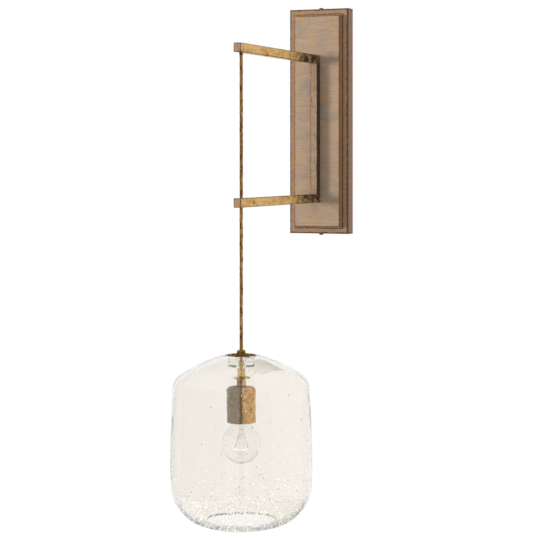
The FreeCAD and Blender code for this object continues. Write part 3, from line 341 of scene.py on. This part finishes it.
bronze = aged_metal(
    "dark_bronze", tone(196, 150, 78), tone(120, 82, 38), tone(64, 42, 20), 0.6, (0.3, 0.55), 1.6
)
dress(["collar_nut", "shade_cap", "rod_ferrule", "rod_guides", "rod_hanger_nut"], bronze)
cup_brass = aged_metal(
    "cup_brass", tone(226, 186, 124), tone(204, 160, 98), tone(164, 124, 72), 0.5, (0.24, 0.36), 1.4
)
# painted reflection: one half of the cup is painted a dull, speckled grey-brown, as a dark surround
# reflected in it would look, darkest in a painted line where it ends; it gives way to bare brass along a
# level direction, given as (x, y)
bright_half_direction = (0.925, 0.379)
cup_place = cup_brass.place()
across_x = cup_brass.sum("MULTIPLY", cup_place[0], bright_half_direction[0])
across_y = cup_brass.sum("MULTIPLY", cup_brass.sum("SUBTRACT", cup_place[1], rod_axis.y), bright_half_direction[1])
unevenness = cup_brass.sum("SUBTRACT", cup_brass.noise(420.0, 4.0), 0.5)
ragged = cup_brass.sum(
    "ADD", cup_brass.sum("ADD", across_x, across_y), cup_brass.sum("MULTIPLY", unevenness, 0.004)
)
reflected_dull_half = cup_brass.step(ragged, 0.0006, 0.0030, 1.0, 0.0)
flecks = cup_brass.step(cup_brass.noise(1300.0, 3.0, 0.75), 0.42, 0.60)
reflected_dull_color = cup_brass.mix(flecks, tone(112, 96, 76), tone(160, 146, 122))
# painted reflection: a dark line where the dull half ends
reflected_dark_line = cup_brass.sum("MULTIPLY", cup_brass.band(cup_brass.sum("ABSOLUTE", ragged), 0.0028), 0.7)
bare_brass = cup_brass.shader.inputs["Base Color"].links[0].from_socket
cup_color = cup_brass.mix(reflected_dull_half, bare_brass, reflected_dull_color)
cup_brass.give("Base Color", cup_brass.mix(reflected_dark_line, cup_color, tone(84, 60, 34)))
dress(["socket_cup", "cup_collar"], cup_brass)
brass = aged_metal(
    "plain_brass", tone(226, 190, 120), tone(200, 160, 92), tone(150, 112, 60), 0.2, (0.2, 0.38)
)
dress(["neck_coupling", "disc_washer", "nipple", "yoke_nut", "upright_inserts", "screw_shell"], brass)
dress(["centre_contact", "terminal_screws", "earth_screws"], brass)
steel = aged_metal(
    "zinc_steel", tone(206, 208, 212), tone(176, 178, 184), tone(130, 132, 138), 0.15, (0.3, 0.5), 0.5
)
dress(["wall_bracket", "backing_strip", "upright_screws", "upright_washers"], steel)
dress(["socket_yoke", "yoke_screws"], steel)
plate_screw = aged_metal(
    "screw_bronze", tone(150, 116, 74), tone(104, 76, 46), tone(58, 40, 24), 0.4, (0.32, 0.5), 2.0
)
dress(["plate_screws"], plate_screw)


# ---------------------------------------------------------------- small parts inside


def smooth_stuff(name, pale, dark, roughness, scale, bump=0.1):
    """Moulded or fired stuff: a nearly even colour with faint mottling and a fine skin."""
    finish = Finish(name)
    mottle = finish.noise(scale, 4.0, 0.6)
    skin = finish.noise(scale * 12, 2.0, 0.6)
    finish.give("Base Color", finish.ramp(mottle, [(0.3, dark), (0.7, pale)]))
    finish.give("Roughness", finish.step(mottle, 0.3, 0.7, roughness * 1.25, roughness * 0.85))
    finish.bump(finish.sum("ADD", mottle, skin), 0.0001, bump)
    return finish


porcelain = smooth_stuff("porcelain", tone(240, 236, 226), tone(224, 218, 204), 0.22, 180)
porcelain.give("Coat Weight", 0.4)
dress(["socket_body"], porcelain)
fibre = smooth_stuff("gasket_fibre", tone(206, 196, 176), tone(168, 156, 132), 0.75, 400, 0.4)
dress(["cap_gasket", "boss_gasket"], fibre)
dress(["lead_grommet"], smooth_stuff("grommet_rubber", tone(46, 45, 44), tone(30, 30, 30), 0.6, 300))
dress(["leads"], smooth_stuff("lead_sleeve", tone(226, 222, 210), tone(196, 190, 176), 0.45, 500))
dress(["earth_lead"], smooth_stuff("earth_sleeve", tone(96, 140, 70), tone(70, 110, 50), 0.45, 400))
connector = smooth_stuff("connector_plastic", tone(214, 150, 60), tone(190, 126, 44), 0.4, 260)
dress(["wire_connectors"], connector)
dress(["bulb_insulator"], smooth_stuff("black_glass", tone(28, 26, 30), tone(16, 15, 18), 0.12, 200))
nickel = aged_metal(
    "lamp_cap_nickel", tone(222, 218, 206), tone(196, 190, 176), tone(150, 142, 128), 0.1, (0.18, 0.34)
)
dress(["bulb_cap"], nickel)
solder = aged_metal(
    "solder", tone(188, 188, 186), tone(164, 164, 162), tone(128, 128, 128), 0.1, (0.35, 0.5)
)
dress(["bulb_tip"], solder)
lamp_wire = aged_metal("lamp_wire", tone(226, 222, 214), tone(206, 202, 194), tone(176, 170, 162), 0.1)
dress(["bulb_wires"], lamp_wire)
tungsten = aged_metal(
    "tungsten", tone(236, 228, 212), tone(222, 212, 192), tone(190, 178, 158), 0.1, (0.4, 0.6)
)
# painted glow: a faint emission makes the filament read bright
tungsten.give("Emission Color", tone(255, 244, 224))
tungsten.give("Emission Strength", 1.1)
dress(["bulb_filament"], tungsten)


# ---------------------------------------------------------------- glass


def clear_glass(name, color, waviness, scale, ior=1.48):
    finish = Finish(name, roughness=0.0)
    finish.give("Base Color", color)
    finish.give("Transmission Weight", 1.0)
    finish.give("IOR", ior)
    if waviness:
        broad = finish.noise(scale, 3.0, 0.55, 0.4, finish.stretched(1.0, 1.0, 0.45))
        finish.bump(broad, waviness, 1.0)
    return finish


shade_glass = clear_glass("seeded_glass", (0.945, 0.925, 0.885, 1.0), 0.0003, 30.0)
lamp_glass = clear_glass("lamp_glass", (0.985, 0.985, 0.98, 1.0), 0.0, 1.0, 1.45)
dress(["bulb_stem"], lamp_glass)


# ---------------------------------------------------------------- shapes


def arc(centre, start, end, most=3.0):
    """Points after start on the shorter arc about a centre.

    They are no further apart than most degrees, nor than 4 mm where the radius is over 30 mm.
    """
    first = math.atan2(start[1] - centre[1], start[0] - centre[0])
    turn = math.atan2(end[1] - centre[1], end[0] - centre[0]) - first
    turn = (turn + math.pi) % (2 * math.pi) - math.pi
    radius = math.dist(centre, start)
    longest = min(math.radians(most), 4.0 / radius if radius > 30 else 9.0)
    count = max(2, math.ceil(abs(turn) / longest))
    angles = [first + turn * (index + 1) / count for index in range(count)]
    return [(centre[0] + radius * math.cos(a), centre[1] + radius * math.sin(a)) for a in angles]


def turned_mesh(outline, around):
    """A closed outline in millimetres, (radius, height), turned about the rod's axis."""
    mesh = bmesh.new()
    rings = []
    for radius, height in outline:
        ring = []
        for index in range(around):
            angle = 2 * math.pi * index / around
            spot = Vector((radius * math.cos(angle), radius * math.sin(angle), height)) * MM
            ring.append(mesh.verts.new(spot + rod_axis))
        rings.append(ring)
    for ring, after in zip(rings, rings[1:] + rings[:1]):
        for index in range(around):
            nxt = (index + 1) % around
            mesh.faces.new((ring[index], ring[nxt], after[nxt], after[index]))
    bmesh.ops.remove_doubles(mesh, verts=mesh.verts, dist=1e-6)
    bmesh.ops.recalc_face_normals(mesh, faces=mesh.faces)
    return mesh


def show(name, mesh, finish, body):
    data = bpy.data.meshes.new(name)
    mesh.to_mesh(data)
    mesh.free()
    data.shade_smooth()
    data.materials.append(finish.material)
    item = bpy.data.objects.new(name, data)
    bpy.context.scene.collection.objects.link(item)
    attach(item, body)
    return item


def on_circle(centre, radius, away_from):
    reach = math.dist(centre, away_from)
    return tuple(c + radius * (c - a) / reach for c, a in zip(centre, away_from))


def at_radius(centre, radius, x, side):
    return (x, centre[1] + side * math.sqrt(radius**2 - (x - centre[0]) ** 2))


# ---------------------------------------------------------------- shade

# The shade's outline is a chain of arcs in millimetres, about centres in (radius, height): a crest
# round the boss, a dome, a shoulder, a long side and a corner that ends in the mouth. It stays a
# skin's depth inside the CAD model's shade.
boss_top, boss_base = (-367.4, -381.45)
shade_bottom = boss_top - 254.0
skin = 0.12
shade_radius, side_reach = (108.0, 1630.0)
side_arc = side_reach - skin
side = (shade_radius - side_reach, boss_top - 156.5)
crest = (24.6, boss_top + 1.6)
bore, boss_rim, mouth, dome_foot = (5.4, 21.1, 54.8, 22.0)
wall_thickness, foot_thickness, corner_thickness = (3.5, 6.0, 4.75)
lip_reach, lip_points = (2.7, 12)
fillet, rib_root, rib_depth, rib_count, rib_points = (2.0, 19.1, 0.85, 3, 36)


def inside_side(radius, height, wall):
    reach = side_arc - wall - radius
    return (side[0] + math.sqrt(reach**2 - (height - side[1]) ** 2), height)


def meeting(first, first_reach, second, second_reach):
    apart = math.dist(first, second)
    along = (first_reach**2 - second_reach**2 + apart**2) / (2 * apart)
    aside = math.sqrt(first_reach**2 - along**2)
    ux, uz = ((second[0] - first[0]) / apart, (second[1] - first[1]) / apart)
    return (first[0] + along * ux + aside * uz, first[1] + along * uz - aside * ux)


shoulder_arc, corner_arc, dome_arc, crest_arc = (27.5, 65.0, 234.0, 3.6 - skin)
shoulder = inside_side(shoulder_arc, boss_top - 47.1, 0)
corner = inside_side(corner_arc, shade_bottom + corner_arc + skin + 1.0, 0)
dome = meeting(crest, dome_arc - crest_arc, shoulder, dome_arc - shoulder_arc)


def shade_outline():
    outer = [(bore, boss_top - 0.1), (boss_rim, boss_top - 0.1), (boss_rim, crest[1])]
    outer += arc(crest, outer[-1], (crest[0], crest[1] + crest_arc), 15)
    outer += arc(crest, outer[-1], on_circle(crest, crest_arc, dome), 10)
    outer += arc(dome, outer[-1], on_circle(shoulder, shoulder_arc, dome))
    outer += arc(shoulder, outer[-1], on_circle(shoulder, shoulder_arc, side))
    outer += arc(side, outer[-1], on_circle(corner, corner_arc, side))
    outer_mouth = at_radius(corner, corner_arc, mouth, -1)
    outer += arc(corner, outer[-1], outer_mouth)
    inner_arc = corner_arc - corner_thickness
    inner_corner = inside_side(inner_arc, shade_bottom + foot_thickness + inner_arc, wall_thickness)
    inner_mouth = at_radius(inner_corner, inner_arc, mouth, -1)
    middle = (outer_mouth[1] + inner_mouth[1]) / 2
    lip = abs(outer_mouth[1] - inner_mouth[1]) / 2
    for index in range(1, lip_points):
        angle = math.pi * index / lip_points
        outer.append((mouth - lip_reach * math.sin(angle), middle - lip * math.cos(angle)))
    outer.append(inner_mouth)
    outer += arc(inner_corner, inner_mouth, on_circle(inner_corner, inner_arc, side))
    inner_shoulder = shoulder_arc - wall_thickness
    outer += arc(side, outer[-1], on_circle(shoulder, inner_shoulder, side))
    outer += arc(shoulder, outer[-1], on_circle(shoulder, inner_shoulder, dome))
    root = at_radius(dome, dome_arc - wall_thickness, dome_foot, 1)
    outer += arc(dome, outer[-1], root)
    top = root[1] - fillet
    outer += arc((dome_foot, top), outer[-1], (dome_foot - fillet, top), 15)
    for index in range(1, rib_points + 1):
        share = index / rib_points
        swell = abs(math.sin(math.pi * rib_count * share))
        outer.append((rib_root + rib_depth * math.sqrt(swell), top + (boss_base - top) * share))
    return outer + [(18.9, boss_base), (bore, boss_base)]


def seed_weight(angle, height):
    """How likely a seed is: dense near the foot, sparser up the right, few up the left."""
    foot = math.exp(-((height - shade_bottom) / 46) ** 2)
    rise = 0.30 * math.exp(-((height - shade_bottom) / 105) ** 2)
    right = 0.5 + 0.5 * math.cos(angle - math.radians(10))
    return foot + rise * (0.35 + 0.65 * right) + 0.035 * right**2 + 0.004


# Heights in millimetres: below corner_top the wall curves in, about a centre in (radius, height),
# and below thick_below it is thicker.
corner_top, curve_centre, thick_below = (-540, (30.0, -490.0), -560)
thin_wall, thick_wall, cover = (3.3, 4.2, 0.35)
least_seed, largest_seed = (0.34, 1.2)


def add_seeds(mesh, outline, count, hollow=True):
    """Closed bubbles inside the wall; a hollow one's faces are turned inwards."""
    wall = [(r, z) for r, z in outline if r > 58 and z < -400]
    # the first half of these points lies on the wall's outer face
    half = len(wall) // 2
    ball = bmesh.new()
    bmesh.ops.create_icosphere(ball, subdivisions=1, radius=1.0)
    faces = [[v.index for v in face.verts] for face in ball.faces]
    corners = [v.co.copy() for v in ball.verts]
    ball.free()
    made = 0
    while made < count:
        radius, height = wall[chance.randrange(half)]
        angle = chance.uniform(0, 2 * math.pi)
        if chance.random() * 1.3 > seed_weight(angle, height) * radius / shade_radius:
            continue
        thickness = thin_wall if height > thick_below else thick_wall
        size = min(least_seed + chance.expovariate(3.4), largest_seed)
        depth = chance.uniform(size + cover, thickness - size - cover)
        outwards = Vector((1, 0, 0))
        if height < corner_top:
            outwards = Vector((radius - curve_centre[0], 0, height - curve_centre[1])).normalized()
        spot = Vector((radius, 0, height)) - outwards * depth
        long = chance.uniform(1.0, 1.5)
        turn = Matrix.Rotation(angle, 3, "Z")
        tilt = Matrix.Rotation(-math.atan2(outwards.z, outwards.x), 3, "Y")
        verts = []
        for corner_point in corners:
            flat, tall = (corner_point.x * size * 0.85, corner_point.z * size * long)
            shaped = Vector((flat, corner_point.y * size, tall))
            verts.append(mesh.verts.new((turn @ (spot + tilt @ shaped)) * MM + rod_axis))
        for face in faces:
            mesh.faces.new([verts[index] for index in (reversed(face) if hollow else face)])
        made += 1


def wavy(mesh, amount):
    """Makes blown glass slightly uneven, always towards the inside of its box."""
    still_reach = 0.06
    for vert in mesh.verts:
        place = vert.co - rod_axis
        reach = math.hypot(place.x, place.y)
        if reach > still_reach:
            shift = (noise.noise(vert.co * 30) - 1.0) * 0.5 * amount
            share = (reach + shift) / reach
            vert.co.x = rod_axis.x + place.x * share
            vert.co.y = rod_axis.y + place.y * share


outline = shade_outline()
shade_mesh = turned_mesh(outline, 192)
wavy(shade_mesh, 0.0002)
add_seeds(shade_mesh, outline, 900)
shade = show("shade_glass_blown", shade_mesh, shade_glass, "fixture")
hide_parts("glass_shade")

# painted highlight: the seeds are given an emission, stronger in patches, so that they read as bright
# glints
seed_glow = Finish("seed_air_painted_glint", roughness=0.3)
glint = seed_glow.noise(900.0, 2.0)
seed_glow.give("Base Color", tone(250, 246, 236))
seed_glow.give("Emission Color", tone(255, 252, 244))
seed_glow.give("Emission Strength", seed_glow.step(glint, 0.35, 0.65, 0.55, 1.0))
seed_glow.give("Roughness", seed_glow.step(glint, 0.3, 0.7, 0.2, 0.4))
seed_glow.bump(glint, 0.0001, 0.3)
seed_mesh = bmesh.new()
add_seeds(seed_mesh, outline, 2600, hollow=False)
seeds = show("shade_seeds", seed_mesh, seed_glow, "fixture")


# ---------------------------------------------------------------- lamp glass

# Millimetres: a ball and a neck, joined by a waist whose arc touches both.
bulb_centre, neck_start = (-496.5, -455.4)
ball_radius, neck_radius, sheet_thickness = (30.0, 13.4, 0.9)
rise = neck_start - bulb_centre
waist = (rise**2 + neck_radius**2 - ball_radius**2) / (2 * (ball_radius - neck_radius))


def bulb_outline():
    points = []
    for sheet in (0.0, sheet_thickness):
        ball, neck = (ball_radius - sheet, neck_radius - sheet)
        waist_centre = (neck_radius + waist, neck_start)
        share = ball / (ball_radius + waist)
        tangent = (share * waist_centre[0], bulb_centre + share * (neck_start - bulb_centre))
        half = [(0.02, bulb_centre - ball)]
        half += arc((0, bulb_centre), half[0], (ball, bulb_centre), 4)
        half += arc((0, bulb_centre), half[-1], tangent, 4)
        half += arc(waist_centre, tangent, (neck, neck_start), 4)
        points.append(half)
    outer, inner = points
    # the neck steps in where it stands in the lamp's cap
    neck = [(13.38, -448.05), (12.48, -448.05), (12.48, -442.55), (11.62, -442.55), (11.62, -448.8)]
    neck += [(12.5, -449.0)]
    return outer + neck + inner[::-1]


bulb = show("lamp_glass_blown", turned_mesh(bulb_outline(), 96), lamp_glass, "lamp")
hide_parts("bulb_glass")


# ---------------------------------------------------------------- rod

forged = Finish("forged_rod", metallic=0.85)
rod_patches = forged.noise(1.0, 5.0, 0.65, 0.5, forged.stretched(260, 260, 90))
rod_flecks = forged.noise(1.0, 3.0, 0.7, 0.2, forged.stretched(900, 900, 520))
rod_color = forged.ramp(rod_patches, [
    (0.34, tone(66, 42, 18)), (0.47, tone(138, 96, 48)),
    (0.6, tone(192, 144, 76)), (0.72, tone(238, 200, 130)),
])
gold_flecks = forged.step(rod_flecks, 0.6, 0.68, 0.0, 0.75)
forged.give("Base Color", forged.mix(gold_flecks, rod_color, tone(222, 180, 108)))
forged.give("Roughness", forged.step(rod_patches, 0.3, 0.7, 0.55, 0.32))
forged.bump(forged.sum("ADD", rod_patches, forged.sum("MULTIPLY", rod_flecks, 0.4)), 0.0006, 0.6)


# Millimetres: the turned neck starts below the upper arm's underside, by the ferrule's height and
# as much of the neck as shows.
arm_underside, ferrule_height, neck_showing = (97.4, 3.0, 1.4)
usual_radius, most_radius, turned_radius = (2.5, 2.78, 2.44)
ring_gap = 0.9


def forged_radius(angle, height):
    """The rod's radius in millimetres: hammered flats and knobs under a turned neck."""
    spot = Vector((math.cos(angle) * 0.7, math.sin(angle) * 0.7, height / 5.2))
    knobs = noise.noise(spot) * 0.42 + noise.noise(spot * 2.6) * 0.16
    return min(most_radius, usual_radius + knobs * 0.9)


def rod_mesh():
    low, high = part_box("rod")
    bottom, top = (low.z / MM, high.z / MM)
    shoulder_height = arm_underside - ferrule_height - neck_showing
    mesh = bmesh.new()
    around, rings = (20, [])
    heights = []
    height = bottom
    while height < shoulder_height:
        heights.append((height, True))
        height += ring_gap
    heights += [(shoulder_height, True), (shoulder_height, False), (top, False)]
    for height, rough in heights:
        ring = []
        for index in range(around):
            angle = 2 * math.pi * index / around
            radius = forged_radius(angle, height) if rough else turned_radius
            spot = Vector((radius * math.cos(angle), radius * math.sin(angle), height)) * MM
            ring.append(mesh.verts.new(spot + rod_axis))
        rings.append(ring)
    for ring, after in zip(rings, rings[1:]):
        for index in range(around):
            nxt = (index + 1) % around
            mesh.faces.new((ring[index], ring[nxt], after[nxt], after[index]))
    mesh.faces.new(rings[0][::-1])
    mesh.faces.new(rings[-1])
    bmesh.ops.recalc_face_normals(mesh, faces=mesh.faces)
    return mesh


rod = show("rod_forged", rod_mesh(), forged, "fixture")
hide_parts("rod")


# ---------------------------------------------------------------- smooth shading of the CAD pieces


def smoothing_group(angle):
    """A modifier that welds a mesh's seams and shades it smooth up to an angle."""
    group = bpy.data.node_groups.new("smooth_by_angle", "GeometryNodeTree")
    group.interface.new_socket("Geometry", in_out="INPUT", socket_type="NodeSocketGeometry")
    group.interface.new_socket("Geometry", in_out="OUTPUT", socket_type="NodeSocketGeometry")
    add, link = (group.nodes.new, group.links.new)
    source, sink = (add("NodeGroupInput"), add("NodeGroupOutput"))
    weld = add("GeometryNodeMergeByDistance")
    weld.inputs["Distance"].default_value = 2e-6
    every = add("GeometryNodeSetShadeSmooth")
    sharp = add("GeometryNodeSetShadeSmooth")
    sharp.domain = "EDGE"
    sharp.inputs["Shade Smooth"].default_value = False
    edge_angle = add("GeometryNodeInputMeshEdgeAngle")
    compare = add("FunctionNodeCompare")
    compare.operation = "GREATER_THAN"
    compare.inputs[1].default_value = math.radians(angle)
    link(edge_angle.outputs["Unsigned Angle"], compare.inputs[0])
    link(compare.outputs[0], sharp.inputs["Selection"])
    link(source.outputs[0], weld.inputs["Geometry"])
    link(weld.outputs["Geometry"], every.inputs["Geometry"])
    link(every.outputs["Geometry"], sharp.inputs["Geometry"])
    link(sharp.outputs["Geometry"], sink.inputs[0])
    return group


smoothing = smoothing_group(32)
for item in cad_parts.values():
    modifier = item.modifiers.new("smooth", "NODES")
    modifier.node_group = smoothing


# ---------------------------------------------------------------- studio

scene = bpy.context.scene
scene.view_settings.view_transform = "Standard"

world = bpy.data.worlds.new("studio")
scene.world = world
world.use_nodes = True
tree = world.node_tree
tree.nodes.clear()
path = tree.nodes.new("ShaderNodeLightPath")
seen = tree.nodes.new("ShaderNodeMath")
seen.operation = "MAXIMUM"
tree.links.new(path.outputs["Is Camera Ray"], seen.inputs[0])
tree.links.new(path.outputs["Is Glossy Ray"], seen.inputs[1])
through = tree.nodes.new("ShaderNodeMath")
through.operation = "MAXIMUM"
tree.links.new(seen.outputs[0], through.inputs[0])
tree.links.new(path.outputs["Is Transmission Ray"], through.inputs[1])
level = tree.nodes.new("ShaderNodeMapRange")
tree.links.new(through.outputs[0], level.inputs[0])
# white where a ray sees it straight, in a reflection or through glass, and dimmer as a light
light_level, seen_level = (0.36, 1.0)
level.inputs[3].default_value = light_level
level.inputs[4].default_value = seen_level
sky = tree.nodes.new("ShaderNodeBackground")
sky.inputs["Color"].default_value = (1, 1, 1, 1)
tree.links.new(level.outputs[0], sky.inputs["Strength"])
out = tree.nodes.new("ShaderNodeOutputWorld")
tree.links.new(sky.outputs[0], out.inputs[0])


def panel_light(name, spot, target, width, height, energy):
    data = bpy.data.lights.new(name, "AREA")
    data.shape = "RECTANGLE"
    data.size, data.size_y, data.energy = (width, height, energy)
    lamp = bpy.data.objects.new(name, data)
    lamp.location = spot
    lamp.rotation_euler = (Vector(target) - Vector(spot)).to_track_quat("-Z", "Y").to_euler()
    lamp.visible_glossy = False
    lamp.visible_transmission = False
    scene.collection.objects.link(lamp)


centre = (0, -0.15, -0.15)
panel_light("key", (-2.2, -1.75, 0.12), centre, 0.7, 0.9, 62)
panel_light("fill", (1.9, -1.9, 0.3), centre, 1.2, 2.0, 7)
panel_light("top", (0.1, -0.9, 1.7), centre, 1.4, 1.4, 10)


def flag(name, angle, distance, width, height, shade_level, tint=(1.0, 0.97, 0.92)):
    """A tall grey board that only reflections see, so that metal and glass get darker edges."""
    data = bpy.data.meshes.new(name)
    half = width / 2
    data.from_pydata(
        [(-half, 0, -height / 2), (half, 0, -height / 2), (half, 0, height / 2), (-half, 0, height / 2)],
        [], [(0, 1, 2, 3)],
    )
    board = bpy.data.objects.new(name, data)
    turn = math.radians(angle)
    board.location = (distance * math.sin(turn), rod_axis.y - distance * math.cos(turn), -0.3)
    board.rotation_euler = (0, 0, turn)
    paint = bpy.data.materials.new(name)
    paint.use_nodes = True
    paint.node_tree.nodes.clear()
    glow = paint.node_tree.nodes.new("ShaderNodeEmission")
    glow.inputs["Color"].default_value = (*[shade_level * share for share in tint], 1)
    sink = paint.node_tree.nodes.new("ShaderNodeOutputMaterial")
    paint.node_tree.links.new(glow.outputs[0], sink.inputs[0])
    data.materials.append(paint)
    board.visible_camera = False
    board.visible_diffuse = False
    board.visible_transmission = False
    board.visible_shadow = False
    board.visible_volume_scatter = False
    scene.collection.objects.link(board)
    board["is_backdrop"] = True


flag("board_front", 24, 3.4, 0.5, 3.0, 0.05)
flag("board_left", -48, 2.2, 4.4, 3.0, 0.34, (0.88, 0.96, 1.08))
flag("board_right", 54, 3.0, 2.0, 3.0, 0.5)
flag("board_far_left", -110, 3.0, 1.6, 3.0, 0.6)
flag("board_far_right", 150, 3.0, 1.2, 3.0, 0.8)


def round_floor():
    mesh = bmesh.new()
    bmesh.ops.create_circle(mesh, cap_ends=True, segments=96, radius=1.5)
    data = bpy.data.meshes.new("floor")
    mesh.to_mesh(data)
    mesh.free()
    finish = Finish("floor_paint", roughness=0.7)
    speckle = finish.noise(60, 4.0, 0.6)
    pale_grey, off_white = ((0.86, 0.86, 0.855, 1), (0.9, 0.9, 0.895, 1))
    finish.give("Base Color", finish.ramp(speckle, [(0.3, pale_grey), (0.7, off_white)]))
    data.materials.append(finish.material)
    item = bpy.data.objects.new("floor", data)
    item.location = (0, rod_axis.y / 2, -1.25)
    scene.collection.objects.link(item)
    item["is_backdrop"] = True


round_floor()

# focal length, picture size and how far down the picture the eye line lies, in pixels
focal_length, picture_size, eye_line = (1656, 540, 160)
camera_data = bpy.data.cameras.new("camera")
camera_data.sensor_width = 36.0
camera_data.lens = camera_data.sensor_width * focal_length / picture_size
camera_data.shift_y = -(picture_size / 2 - eye_line) / picture_size
camera = bpy.data.objects.new("camera", camera_data)
camera.location = (0.995, -2.671, -0.066)
camera.rotation_euler = (math.radians(90), 0, math.radians(22.3))
scene.collection.objects.link(camera)
scene.camera = camera

low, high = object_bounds()
